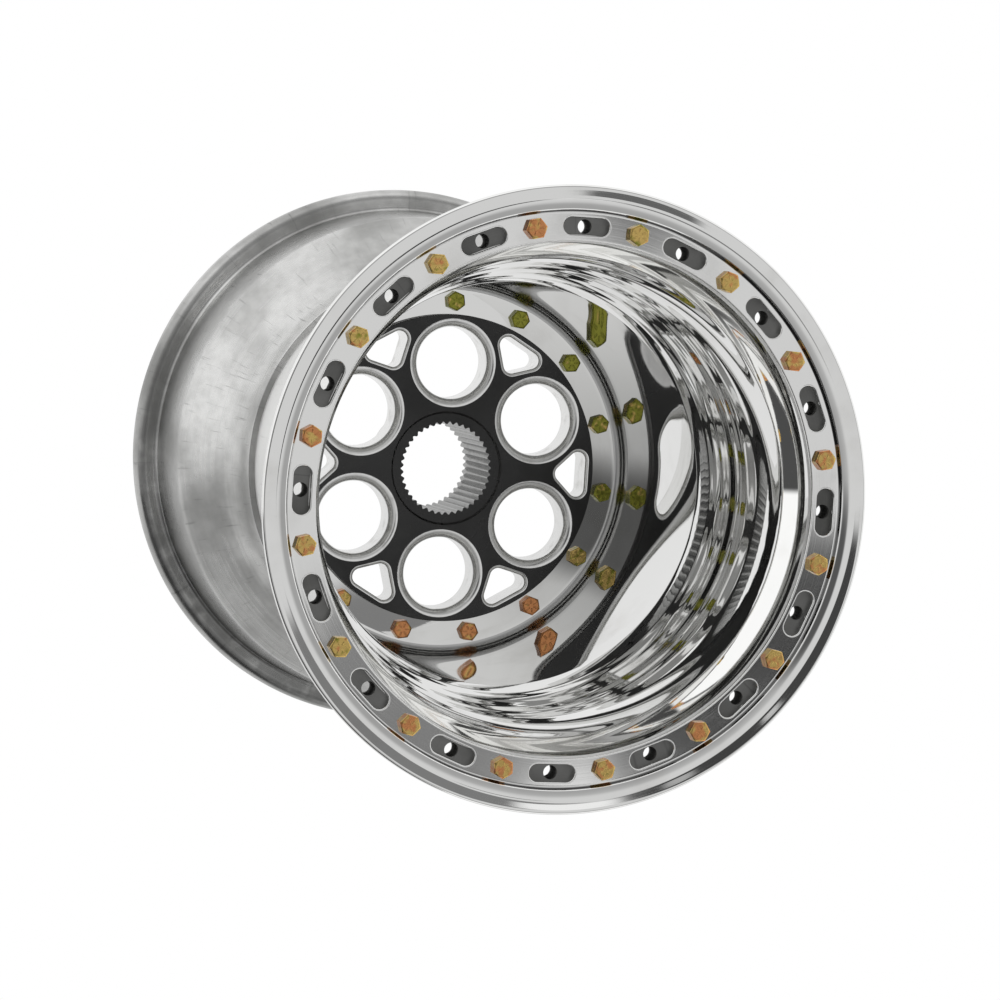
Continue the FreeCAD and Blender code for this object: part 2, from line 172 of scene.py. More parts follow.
def sheet_faces(line: Sequence[tuple[float, float, float, float | None]], thickness: float,
                inside: float) -> tuple[list[Corner], list[Corner]]:
    """Near and far face of bent sheet, from the line of its near face.

    The far face lies a thickness to the right of the line's direction, along each corner's bisector.

    Args:
        line: (radius, height, near rounding, far rounding) of each corner. None follows the near rounding.
        thickness: Thickness of the sheet.
        inside: Smallest rounding of an inside corner.

    Returns:
        Corners of the near face and of the far face, both in the line's order.
    """
    places = np.array([corner[:2] for corner in line], float)
    runs = np.diff(places, axis=0)
    runs /= np.linalg.norm(runs, axis=1)[:, None]
    before = np.vstack([runs[:1], runs])
    after = np.vstack([runs, runs[-1:]])
    side_before = np.stack([before[:, 1], -before[:, 0]], 1)
    side_after = np.stack([after[:, 1], -after[:, 0]], 1)
    bisector = side_before + side_after
    bisector /= np.linalg.norm(bisector, axis=1)[:, None]
    reach = thickness / np.sum(bisector * side_before, axis=1)
    shifted = places + bisector * reach[:, None]
    turn = before[:, 0] * after[:, 1] - before[:, 1] * after[:, 0]
    near, far = [], []
    for corner, place, way in zip(line, shifted, turn):
        follow = corner[2] + thickness if way > 0 else max(corner[2] - thickness, inside)
        near.append((corner[0], corner[1], corner[2]))
        far.append((place[0], place[1], follow if corner[3] is None else corner[3]))
    return near, far


def along(start: tuple[float, float], slope: float, length: float) -> tuple[float, float]:
    """The corner a length away, on a line that leaves the axle's direction by a slope in degrees."""
    turn = math.radians(slope)
    return start[0] + length * math.sin(turn), start[1] + length * math.cos(turn)


def bend_reach(sweep: float, change: float) -> float:
    """How far a bend of that radius reaches along each of its lines, for a change of slope in degrees."""
    return sweep * math.tan(math.radians(abs(change)) / 2)


def circle(radius: float, count: int = RING_STEPS) -> Array:
    """Points on a circle round the origin."""
    return swept(radius, angles(count), 0.0)[:, :2]


def placed(outline: Array, radius: float, turn: float) -> Array:
    """A flat outline moved out along X by a radius, then turned about the axle.

    Args:
        outline: Points (x, y).
        radius: Distance from the axle.
        turn: Angle round the axle, in degrees.

    Returns:
        The moved points.
    """
    cos, sin = math.cos(math.radians(turn)), math.sin(math.radians(turn))
    x, y = outline[:, 0] + radius, outline[:, 1]
    return np.stack([x * cos - y * sin, x * sin + y * cos], 1)


def rounded_edge(radius: float, height: float, steps: int = 8) -> list[tuple[float, float]]:
    """Rows of an opening's quarter-round front edge, from the face down to the opening's wall.

    Args:
        radius: Radius of the edge.
        height: Height of the face.
        steps: Rows along the round.

    Returns:
        (growth, height) of each row.
    """
    turn = np.linspace(0, math.pi / 2, steps + 1)
    growth, drop = radius * (1 - np.sin(turn)), radius * (1 - np.cos(turn))
    return list(zip(growth.tolist(), (height - drop).tolist()))


def hexagon_radius(turn: Array, across_flats: float) -> Array:
    """Distance of a hexagon's side from its middle: half the flats over the cosine within each sixth."""
    return across_flats / 2 / np.cos((turn % SIXTH) - SIXTH / 2)


# Meshes


class Skin:
    """Patches of one piece's surface, gathered as whole arrays and joined into one mesh."""

    def __init__(self, name: str) -> None:
        """Starts a piece with no patches."""
        self.name = name
        self.count = 0
        self.points: list[Array] = []
        self.faces: list[list[int]] = []
        self.finish: list[int] = []

    def add(self, points: Array, faces: Array, finish: int | Array) -> None:
        """Adds points and the faces between them.

        Args:
            points: Places (n, 3).
            faces: Corner numbers, a row for each face, counted from the first of these points.
            finish: Index of the piece's finish, or one for each face.
        """
        self.points.append(points.reshape(-1, 3))
        self.faces += (faces + self.count).tolist()
        self.finish += np.broadcast_to(finish, len(faces)).tolist()
        self.count += len(points.reshape(-1, 3))

    def grid(self, points: Array, finish: int | Array = 0) -> None:
        """Adds a patch of quads between the rows of points, with the last column joined to the first.

        Args:
            points: Places (rows, columns, 3).
            finish: Index of the piece's finish, or one for each quad.
        """
        rows, columns = points.shape[:2]
        number = np.arange(rows * columns).reshape(rows, columns)
        number = np.hstack([number, number[:, :1]])
        quads = np.stack([number[:-1, :-1], number[:-1, 1:], number[1:, 1:], number[1:, :-1]], -1)
        self.add(points, quads.reshape(-1, 4), finish)

    def turned(self, section: Array, finish: int | Array = 0) -> None:
        """Adds a section carried round the axle.

        Args:
            section: Radius and height of each point.
            finish: Index of the piece's finish, or one for each step of the section.
        """
        points = swept(section[:, :1], angles(RING_STEPS), section[:, 1:])
        self.grid(points, np.repeat(finish, RING_STEPS) if isinstance(finish, np.ndarray) else finish)

    def carried(self, outline: Outline, rows: Sequence[tuple[float, float]], finish: int = 0) -> None:
        """Adds the wall of an opening: its outline at each growth and height, joined row by row.

        Args:
            outline: Gives the flat outline for a growth all round.
            rows: (growth, height) of each row.
            finish: Index of the piece's finish.
        """
        self.grid(np.stack([at_height(outline(growth), height) for growth, height in rows]), finish)

    def plate(self, loops: Sequence[Array], height: float, facing: Facing, finish: int = 0) -> None:
        """Adds a flat face with openings, as triangles between its outlines.

        A triangle whose corners are all on one opening's outline fills that opening, and is left out.

        Args:
            loops: The outer outline, then the outline of each opening.
            height: Height of the face.
            facing: Side that the face looks to.
            finish: Index of the piece's finish.
        """
        flat = np.concatenate(loops)
        owner = np.concatenate([np.full(len(loop), index) for index, loop in enumerate(loops)])
        starts = np.cumsum([0] + [len(loop) for loop in loops[:-1]])
        numbers = [start + np.arange(len(loop)) for start, loop in zip(starts, loops)]
        edges = np.concatenate([np.stack([number, np.roll(number, -1)], 1) for number in numbers])
        places = [Vector(place) for place in flat.tolist()]
        found = delaunay_2d_cdt(places, edges.tolist(), [], INSIDE_ONLY, OUTLINE_GAP)
        _, _, corners, origins, _, _ = found
        source = np.array([origin[0] for origin in origins])
        triangles = source[np.array(corners)]
        owners = owner[triangles]
        filled = (owners[:, :1] == owners).all(1) & (owners[:, 0] > 0)
        triangles = triangles[~filled]
        if facing is Facing.BACK:
            triangles = triangles[:, ::-1]
        self.add(at_height(flat, height), triangles, finish)

    def piece(self, finishes: Sequence["Finish"], node: str,
              sharp: float = SHARP_ANGLE) -> bpy.types.Object:
        """Joins the patches into one object, facing outwards, that stands for a CAD node.

        Args:
            finishes: The piece's finishes, in the patches' order.
            node: CAD node that the piece replaces.
            sharp: Angle between faces past which their edge stays sharp.

        Returns:
            The object, riding on the wheel.
        """
        mesh = bpy.data.meshes.new(self.name)
        mesh.from_pydata((np.concatenate(self.points) * MM).tolist(), [], self.faces)
        mesh.polygons.foreach_set("material_index", np.array(self.finish, np.int32))
        work = bmesh.new()
        work.from_mesh(mesh)
        bmesh.ops.remove_doubles(work, verts=work.verts[:], dist=MERGE_GAP)
        bmesh.ops.recalc_face_normals(work, faces=work.faces[:])
        work.to_mesh(mesh)
        work.free()
        for finish in finishes:
            mesh.materials.append(finish.material())
        mesh.shade_smooth()
        mesh.set_sharp_from_angle(angle=sharp)
        piece = bpy.data.objects.new(self.name, mesh)
        bpy.context.scene.collection.objects.link(piece)
        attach(piece, BODY)
        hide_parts(node)
        LOG.info("%s: %d faces", self.name, len(mesh.polygons))
        return piece


# Node trees


class Tree:
    """Lays out the nodes of one material, group or world."""

    def __init__(self, tree: bpy.types.NodeTree) -> None:
        """Takes a tree and empties it."""
        self.tree = tree
        tree.nodes.clear()

    def put(self, socket: Socket, value: Any) -> None:
        """Joins an input to a socket, or sets its value, with colours made opaque."""
        if isinstance(value, Socket):
            self.tree.links.new(value, socket)
        elif socket.type == "RGBA":
            socket.default_value = (*value[:3], 1.0)
        else:
            socket.default_value = value

    def node(self, kind: str, inputs: dict[Any, Any] | None = None, **settings: Any) -> bpy.types.Node:
        """Adds a node.

        Args:
            kind: Type name of the node.
            inputs: A value or a socket for each named or numbered input.
            settings: Attributes of the node.

        Returns:
            The new node.
        """
        node = self.tree.nodes.new(kind)
        for name, value in settings.items():
            setattr(node, name, value)
        for name, value in (inputs or {}).items():
            self.put(node.inputs[name], value)
        return node

    def math(self, operation: str, first: Any, second: Any = 0.0) -> Socket:
        """Adds a math node and returns its result."""
        return self.node("ShaderNodeMath", {0: first, 1: second}, operation=operation).outputs[0]

    def times(self, first: Any, second: Any) -> Socket:
        """Multiplies two values and returns the result."""
        return self.math("MULTIPLY", first, second)

    def weigh(self, first: Socket, first_share: float, second: Socket, second_share: float) -> Socket:
        """Adds two values by their shares and returns the result."""
        return self.math("ADD", self.times(first, first_share), self.times(second, second_share))

    def spread(self, value: Any, low: Any, high: Any, to_low: Any = 0.0, to_high: Any = 1.0) -> Socket:
        """Maps a range of values onto another, smoothly and held at its ends, and returns the result."""
        settings = {"Value": value, "From Min": low, "From Max": high, "To Min": to_low, "To Max": to_high}
        return self.node("ShaderNodeMapRange", settings, interpolation_type="SMOOTHSTEP").outputs[0]

    def blend(self, share: Socket, first: Any, second: Any) -> Socket:
        """Mixes two colours and returns the result."""
        node = self.node("ShaderNodeMix", data_type="RGBA")
        colours = [item for item in node.inputs if item.type == "RGBA"]
        for socket, value in zip([node.inputs[0], *colours], (share, first, second)):
            self.put(socket, value)
        return next(item for item in node.outputs if item.type == "RGBA")

    def level(self, share: Socket, first: Any, second: Any) -> Socket:
        """Mixes two values and returns the result."""
        return self.node("ShaderNodeMix", {0: share, 2: first, 3: second}, data_type="FLOAT").outputs[0]

    def bump(self, height: Any, strength: float, depth: float, normal: Any = None) -> Socket:
        """Adds a bump of a depth in millimetres and returns its normal."""
        inputs = {"Height": height, "Strength": strength, "Distance": depth * MM}
        if normal is not None:
            inputs["Normal"] = normal
        return self.node("ShaderNodeBump", inputs).outputs["Normal"]

    def noise(self, kind: str, scale: Any, detail: Any, **inputs: Any) -> Socket:
        """Adds noise in a number of dimensions, such as 4D, and returns its value."""
        settings = {"Scale": scale, "Detail": detail, **inputs}
        return self.node("ShaderNodeTexNoise", settings, noise_dimensions=kind).outputs[0]

    def vector(self, operation: str, **inputs: Any) -> Sockets:
        """Adds a vector math node with inputs first, second and scale, and returns its outputs."""
        names = {"first": 0, "second": 1, "scale": "Scale"}
        settings = {names[name]: value for name, value in inputs.items()}
        return self.node("ShaderNodeVectorMath", settings, operation=operation).outputs

    def place(self) -> Socket:
        """Place on the piece, in metres."""
        return self.node("ShaderNodeTexCoord").outputs["Object"]

    def axes(self) -> Sockets:
        """Place along each axis."""
        return self.node("ShaderNodeSeparateXYZ", {0: self.place()}).outputs

    def radius(self, axes: Sockets) -> Socket:
        """Distance from the axle."""
        squares = [self.math("POWER", axes[index], 2.0) for index in (0, 1)]
        return self.math("SQRT", self.math("ADD", *squares))

    def facing(self, vector: Socket, turn: float, lean: float = 90.0) -> Socket:
        """How far a vector reaches towards a turn round the axle and a lean from it, in degrees."""
        turn, lean = math.radians(turn), math.radians(lean)
        way = (math.sin(lean) * math.cos(turn), math.sin(lean) * math.sin(turn), math.cos(lean))
        return self.vector("DOT_PRODUCT", first=vector, second=way)["Value"]


@dataclass(frozen=True)
class Effect:
    """Settings of a surface effect that finishes share. Its node group is built once."""

    label: ClassVar[str]
    gives: ClassVar[tuple[str, ...]] = ("Mask", "Height")

    def lay_out(self, tree: Tree, given: Sockets) -> Sequence[Socket]:
        """Lays out the group's nodes from its inputs, and returns a socket for each output."""
        raise NotImplementedError

    def group(self) -> bpy.types.NodeTree:
        """The effect's node group, with a value input for each setting, made the first time."""
        known = bpy.data.node_groups.get(self.label)
        if known is not None:
            return known
        group = bpy.data.node_groups.new(self.label, "ShaderNodeTree")
        sockets = [(item.name.capitalize(), "INPUT") for item in fields(self)]
        for name, side in sockets + [(name, "OUTPUT") for name in self.gives]:
            group.interface.new_socket(name, in_out=side, socket_type="NodeSocketFloat")
        tree = Tree(group)
        given = tree.node("NodeGroupInput").outputs
        tree.node("NodeGroupOutput", dict(zip(self.gives, self.lay_out(tree, given))))
        return group

    def on(self, tree: Tree) -> Sockets:
        """Places the group in a tree with these settings, and returns its outputs."""
        settings = {name.capitalize(): value for name, value in vars(self).items()}
        return tree.node("ShaderNodeGroup", settings, node_tree=self.group()).outputs


@dataclass(frozen=True)
class Cloud(Effect):
    """Soft patches of a size in millimetres: noise in space, and a mask over a range of it."""

    size: float
    detail: float
    low: float = 0.0
    high: float = 1.0
    shift: float = 0.0
    label: ClassVar[str] = "Cloud"

    def lay_out(self, tree: Tree, given: Sockets) -> Sequence[Socket]:
        """Noise on the piece's own place."""
        scale = tree.math("DIVIDE", 1 / MM, given["Size"])
        noise = tree.noise("4D", scale, given["Detail"], Vector=tree.place(), W=given["Shift"])
        return tree.spread(noise, given["Low"], given["High"]), noise


@dataclass(frozen=True)
class Lines(Effect):
    """Fine lines round the axle: noise along radius plus height, with a pitch in millimetres."""

    pitch: float
    detail: float = 3.0
    low: float = 0.0
    high: float = 1.0
    label: ClassVar[str] = "Turning lines"

    def lay_out(self, tree: Tree, given: Sockets) -> Sequence[Socket]:
        """Noise on one number, so that it is the same all round."""
        axes = tree.axes()
        track = tree.math("ADD", tree.radius(axes), axes[2])
        scale = tree.math("DIVIDE", 1 / MM, given["Pitch"])
        noise = tree.noise("1D", 1.0, given["Detail"], W=tree.times(track, scale))
        return tree.spread(noise, given["Low"], given["High"]), noise


@dataclass(frozen=True)
class Band(Effect):
    """Bands round the axle, by height and by radius: middle, half width and soft edge in millimetres."""

    middle: float
    half: float
    soft: float
    label: ClassVar[str] = "Band"
    gives: ClassVar[tuple[str, ...]] = ("By height", "By radius")

    def lay_out(self, tree: Tree, given: Sockets) -> Sequence[Socket]:
        """Each mask falls from the half width to the end of the soft edge."""
        axes = tree.axes()
        ends = tree.math("ADD", given["Half"], given["Soft"])
        masks = []
        for value in (axes[2], tree.radius(axes)):
            away = tree.math("SUBTRACT", tree.times(value, 1 / MM), given["Middle"])
            masks.append(tree.spread(tree.math("ABSOLUTE", away), ends, given["Half"]))
        return masks


@dataclass(frozen=True)
class Drag(Effect):
    """Marks drawn along the axle: noise stretched in height, with widths in millimetres at the barrel."""

    width: float
    length: float
    low: float
    high: float
    label: ClassVar[str] = "Drag marks"
    gives: ClassVar[tuple[str, ...]] = ("Mask",)
    barrel: ClassVar[float] = 150.0
    detail: ClassVar[float] = 3.0

    def lay_out(self, tree: Tree, given: Sockets) -> Sequence[Socket]:
        """Noise on the direction from the axle and on the height, each in widths or lengths of a mark."""
        axes = tree.axes()
        flat = tree.node("ShaderNodeCombineXYZ", {0: axes[0], 1: axes[1]}).outputs[0]
        turns = tree.math("DIVIDE", self.barrel, given["Width"])
        around = tree.vector("SCALE", first=tree.vector("NORMALIZE", first=flat)[0], scale=turns)[0]
        rise = tree.math("DIVIDE", tree.times(axes[2], 1 / MM), given["Length"])
        rise = tree.node("ShaderNodeCombineXYZ", {2: rise}).outputs[0]
        track = tree.vector("ADD", first=around, second=rise)[0]
        noise = tree.noise("4D", 1.0, self.detail, Vector=track)
        return (tree.spread(noise, given["Low"], given["High"]),)


# Finishes


@dataclass(frozen=True)
class Finish:
    """A finish by name: subclasses lay out its nodes."""

    name: str
    slot: Slot
    gloss: float = 0.20
    dull: float = 0.40

    def material(self) -> bpy.types.Material:
        """The finish's material, made once."""
        known = bpy.data.materials.get(self.name)
        if known is not None:
            return known
        material = bpy.data.materials.new(self.name)
        material.use_nodes = True
        tree = Tree(material.node_tree)
        shader = tree.node("ShaderNodeBsdfPrincipled", self.dress(tree))
        tree.node("ShaderNodeOutputMaterial", {"Surface": shader.outputs[0]})
        return material

    def dress(self, tree: Tree) -> dict[str, Any]:
        """Lays out the nodes that feed the shader, and returns its inputs by name."""
        raise NotImplementedError

    def rough(self, tree: Tree, share: Socket) -> Socket:
        """Roughness between gloss and dull by a share."""
        return tree.spread(share, 0.0, 1.0, self.gloss, self.dull)


@dataclass(frozen=True)
class PolishedMetal(Finish):
    """Buffed aluminium: a mirror with faint buffing haze, wiping lines round the axle and slow waves.

    Ripples, a dulled corner darkened with painted shade and a thin line of painted shade in a crevice are
    added only where a finish sets them.
    """

    colour: Colour = (0.86, 0.86, 0.85)
    smear: Colour = (0.76, 0.755, 0.74)
    gloss: float = 0.02
    dull: float = 0.06
    haze_cloud: Cloud = Cloud(46.0, 5.0, 0.48, 0.74)
    haze_share: float = 0.65
    lines: Lines = Lines(0.9, low=0.35, high=0.75)
    line_share: float = 0.35
    line_strength: float = 0.35
    line_depth: float = 0.002
    wave: Cloud = Cloud(38.0, 1.0, shift=4.0)
    wave_depth: float = 0.012
    ripple: Lines = Lines(13.0, 0.5)
    ripple_zone: Band = Band(351.0, 20.0, 14.0)
    ripple_depth: float = 0.0
    corner: Band = Band(134.6, 2.7, 0.4)
    corner_dull: float = 0.0
    corner_dark: float = 0.45
    crevice: Band | None = None
    shadow: Colour = (0.10, 0.10, 0.10)

    def dress(self, tree: Tree) -> dict[str, Any]:
        """Haze feeds colour and roughness, and lines and waves feed the normal."""
        haze, lines = self.haze_cloud.on(tree)["Mask"], self.lines.on(tree)
        rough = self.rough(tree, tree.weigh(haze, self.haze_share, lines["Mask"], self.line_share))
        normal = tree.bump(self.wave.on(tree)["Height"], 1.0, self.wave_depth)
        normal = tree.bump(lines["Height"], self.line_strength, self.line_depth, normal)
        colour = tree.blend(haze, self.colour, self.smear)
        if self.ripple_depth:
            ripple = tree.times(self.ripple_zone.on(tree)["By height"], self.ripple.on(tree)["Height"])
            normal = tree.bump(ripple, 1.0, self.ripple_depth, normal)
        if self.corner_dull:
            corner = self.corner.on(tree)["By radius"]
            rough = tree.math("ADD", rough, tree.times(corner, self.corner_dull))
            # Painted shade: the corner band darkens the colour towards the shadow colour.
            colour = tree.blend(tree.times(corner, self.corner_dark), colour, self.shadow)
        if self.crevice:
            # Painted shade: a thin dark line along the crevice band.
            colour = tree.blend(self.crevice.on(tree)["By radius"], colour, self.shadow)
        return {"Base Color": colour, "Metallic": 1.0, "Roughness": rough, "Normal": normal}


@dataclass(frozen=True)
class RawMetal(Finish):
    """Spun aluminium as it left the lathe: satin, with turning lines, cloudy oxide and drag marks.

    Where set, one side is darkened as painted shade: the shade's reach maps metres towards its side onto a
    share, and its blend maps that share onto oxide.
    """

    colour: Colour = (0.72, 0.72, 0.71)
    oxide: Colour = (0.31, 0.31, 0.302)
    oxide_cloud: Cloud = Cloud(60.0, 8.0, 0.32, 0.74, 2.6)
    oxide_share: float = 0.6
    grain: Cloud = Cloud(7.0, 8.0, 0.35, 0.75, 9.0)
    grain_share: float = 0.22
    drawn: Colour = (0.10, 0.10, 0.10)
    drag: Drag = Drag(2.2, 22.0, 0.59, 0.80)
    marked: float = 0.6
    gloss: float = 0.24
    dull: float = 0.46
    lines: Lines = Lines(0.7, low=0.3, high=0.8)
    line_share: float = 0.4
    line_strength: float = 0.5
    line_depth: float = 0.03
    soil: Colour = (0.09, 0.09, 0.088)
    soiled: float = 0.0
    soil_turn: float = 222.0
    soil_reach: tuple[float, float, float, float] = (0.0, 0.21, 0.05, 1.0)
    soil_haze: tuple[float, float, float, float] = (0.6, 1.0, 0.0, 0.55)
    soil_height: Band = Band(13.5, 2.4, 2.6)
    soil_radius: Band = Band(196.0, 6.0, 2.0)
    soil_spots: Cloud = Cloud(9.0, 5.0, 0.22, 0.56, 7.0)

    def dress(self, tree: Tree) -> dict[str, Any]:
        """Oxide and drag marks darken and dull the metal, and turning lines feed the normal."""
        oxide, lines = self.oxide_cloud.on(tree)["Mask"], self.lines.on(tree)
        grain, drawn = self.grain.on(tree)["Mask"], self.drag.on(tree)["Mask"]
        colour = tree.blend(oxide, self.colour, self.oxide)
        colour = tree.blend(tree.times(grain, self.grain_share), colour, self.oxide)
        colour = tree.blend(tree.times(drawn, self.marked), colour, self.drawn)
        # Painted shade on one side of the barrel, with dark spots on the flange's face there.
        if self.soiled:
            colour = self.dirty(tree, colour)
        worn = tree.weigh(oxide, self.oxide_share, lines["Mask"], self.line_share)
        return {"Base Color": colour, "Metallic": 1.0, "Roughness": self.rough(tree, worn),
                "Normal": tree.bump(lines["Height"], self.line_strength, self.line_depth)}

    def dirty(self, tree: Tree, colour: Socket) -> Socket:
        """Darkens one side of the barrel as painted shade, and spots the flange's face there.

        Args:
            tree: The material's nodes.
            colour: Colour of the metal without the painted shade.

        Returns:
            The colour with the painted shade.
        """
        side = tree.spread(tree.facing(tree.place(), self.soil_turn), *self.soil_reach)
        colour = tree.blend(tree.spread(side, *self.soil_haze), colour, self.oxide)
        face = tree.times(self.soil_height.on(tree)["By height"], self.soil_radius.on(tree)["By radius"])
        spots = tree.times(self.soil_spots.on(tree)["Mask"], side)
        return tree.blend(tree.times(tree.times(face, spots), self.soiled), colour, self.soil)


@dataclass(frozen=True)
class MachinedMetal(Finish):
    """Bare milled aluminium: bright, with fine tool lines and a little staining."""

    colour: Colour = (0.82, 0.82, 0.81)
    stain: Colour = (0.62, 0.615, 0.60)
    stain_cloud: Cloud = Cloud(9.0, 4.0, 0.5, 0.8, 2.0)
    gloss: float = 0.10
    dull: float = 0.24
    lines: Lines = Lines(0.45, low=0.3, high=0.8)
    line_strength: float = 0.4
    line_depth: float = 0.02

    def dress(self, tree: Tree) -> dict[str, Any]:
        """Tool lines feed roughness and normal, and stains darken the metal."""
        lines = self.lines.on(tree)
        colour = tree.blend(self.stain_cloud.on(tree)["Mask"], self.colour, self.stain)
        return {"Base Color": colour, "Metallic": 1.0, "Roughness": self.rough(tree, lines["Mask"]),
                "Normal": tree.bump(lines["Height"], self.line_strength, self.line_depth)}


@dataclass(frozen=True)
class BlackMetal(Finish):
    """Black anodised aluminium: satin, with dust, faint wiping marks and a fine grain."""

    colour: Colour = (0.0125, 0.0125, 0.012)
    dust: Colour = (0.045, 0.045, 0.043)
    dust_cloud: Cloud = Cloud(22.0, 7.0, 0.50, 0.85, 1.0)
    dust_share: float = 0.6
    wiped: Cloud = Cloud(60.0, 3.0, 0.40, 0.70, 3.0)
    gloss: float = 0.26
    dull: float = 0.42
    grain: Cloud = Cloud(0.5, 2.0)
    grain_strength: float = 0.25
    grain_depth: float = 0.02
    specular: float = 0.55

    def dress(self, tree: Tree) -> dict[str, Any]:
        """Dust lightens the black, wiping marks dull it, and grain feeds the normal."""
        dust = tree.times(self.dust_cloud.on(tree)["Mask"], self.dust_share)
        return {"Base Color": tree.blend(dust, self.colour, self.dust), "Metallic": 0.0,
                "Roughness": self.rough(tree, self.wiped.on(tree)["Mask"]),
                "Normal": tree.bump(self.grain.on(tree)["Height"], self.grain_strength, self.grain_depth),
                "Specular IOR Level": self.specular}


@dataclass(frozen=True)
class YellowZinc(Finish):
    """Yellow passivated zinc: gold that drifts to pink and green, a little different on each fastener."""

    gold: Colour = (0.64, 0.45, 0.15)
    pink: Colour = (0.62, 0.27, 0.11)
    green: Colour = (0.27, 0.27, 0.045)
    drift: Cloud = Cloud(5.0, 1.5)
    drift_middle: float = 0.5
    drift_share: float = 1.3
    to_pink: tuple[float, float] = (0.55, 0.80)
    to_green: tuple[float, float] = (0.45, 0.20)
    wear: Cloud = Cloud(4.0, 3.0, 0.35, 0.75, 6.0)
    gloss: float = 0.20
    dull: float = 0.34
    wear_strength: float = 0.2
    wear_depth: float = 0.03

    def dress(self, tree: Tree) -> dict[str, Any]:
        """Slow noise and each fastener's own tint choose between gold, pink and green."""
        tint = tree.node("ShaderNodeAttribute", attribute_name="tint").outputs["Fac"]
        drift = tree.math("SUBTRACT", self.drift.on(tree)["Height"], self.drift_middle)
        hue = tree.math("ADD", tint, tree.times(drift, self.drift_share))
        colour = tree.blend(tree.spread(hue, *self.to_pink), self.gold, self.pink)
        colour = tree.blend(tree.spread(hue, *self.to_green), colour, self.green)
        wear = self.wear.on(tree)
        return {"Base Color": colour, "Metallic": 1.0, "Roughness": self.rough(tree, wear["Mask"]),
                "Normal": tree.bump(wear["Height"], self.wear_strength, self.wear_depth)}


@dataclass(frozen=True)
class PlainFinish(Finish):
    """A small part's finish: one colour with a fine grain, and cloudy roughness."""

    colour: Colour = (0.02, 0.02, 0.02)
    worn: Colour = (0.05, 0.05, 0.05)
    wear: Cloud = Cloud(5.0, 4.0, 0.45, 0.80, 5.0)
    metal: float = 0.0
    gloss: float = 0.45
    dull: float = 0.65
    grain: Cloud = Cloud(0.6, 2.0)
    grain_strength: float = 0.4
    grain_depth: float = 0.03

    def dress(self, tree: Tree) -> dict[str, Any]:
        """Wear lightens the colour, and grain feeds the normal."""
        worn = self.wear.on(tree)["Mask"]
        return {"Base Color": tree.blend(worn, self.colour, self.worn), "Metallic": self.metal,
                "Roughness": self.rough(tree, worn),
                "Normal": tree.bump(self.grain.on(tree)["Height"], self.grain_strength, self.grain_depth)}


# The lock ring's crevice band, at radius 190.1, is a thin line of painted shade where the face meets the
# step.
POLISHED = PolishedMetal("buffed_aluminium", Slot.POLISHED, crevice=Band(190.1, 0.325, 0.65))
FACED = PolishedMetal("faced_aluminium", Slot.POLISHED, gloss=0.06, dull=0.12)
# On the outer half the corner band dulls the foot's fillet and darkens it with painted shade.
SPUN = PolishedMetal("buffed_spun_aluminium", Slot.POLISHED, ripple_depth=0.30, corner_dull=0.22)
SATIN = RawMetal("satin_aluminium", Slot.RAW, colour=(0.94, 0.94, 0.93), oxide=(0.86, 0.86, 0.85),
                 marked=0.12, gloss=0.46, dull=0.60)
# The inner half's outside gets painted shade on one side, with dark spots on the flange's face there.
RAW = RawMetal("spun_aluminium", Slot.RAW, soiled=0.55)
# The inner half's inside: dull spun aluminium whose colour is darkened as painted shade for the hollow that
# little light reaches.
SHADED_INSIDE_METAL = RawMetal("dull_spun_aluminium", Slot.RAW, colour=(0.30, 0.30, 0.295),
                    oxide=(0.20, 0.20, 0.195), gloss=0.32, dull=0.52)
# The base ring: dull raw aluminium, darkened further as painted shade for its face seen deep in the slots.
SHADED_BASE_METAL = RawMetal("dulled_aluminium", Slot.RAW, colour=(0.20, 0.20, 0.195), oxide=(0.13, 0.13, 0.125),
                drawn=(0.08, 0.08, 0.08), gloss=0.36, dull=0.55)
MACHINED = MachinedMetal("milled_aluminium", Slot.MACHINED)
BROACHED = MachinedMetal("broached_aluminium", Slot.MACHINED, colour=(0.30, 0.30, 0.295),
                         stain=(0.20, 0.20, 0.195), gloss=0.22, dull=0.36)
BLACK = BlackMetal("black_anodising", Slot.BLACK)
ZINC = YellowZinc("passivated_zinc", Slot.ZINC)
RUBBER = PlainFinish("seal_rubber", Slot.RUBBER)
BRASS = PlainFinish("plated_brass", Slot.BRASS, colour=(0.70, 0.66, 0.58), worn=(0.55, 0.49, 0.38),
                    metal=1.0, gloss=0.22, dull=0.38)
PLASTIC = PlainFinish("cap_plastic", Slot.PLASTIC, colour=(0.015, 0.015, 0.016), worn=(0.03, 0.03, 0.03),
                      gloss=0.38, dull=0.5)


# Sub-assemblies


@dataclass
class BoltCircle:
    """Places of equal fasteners or holes round the axle."""

    count: int
    radius: float
    first: float = 0.0

    def turns(self) -> list[float]:
        """Angle of each place, in degrees."""
        return [self.first + 360 / self.count * index for index in range(self.count)]

    def holes(self, radius: float, steps: int = 24) -> list[Outline]:
        """Outline of a round hole at each place, for any growth."""
        return [lambda growth, turn=turn: placed(circle(radius + growth, steps), self.radius, turn)
                for turn in self.turns()]


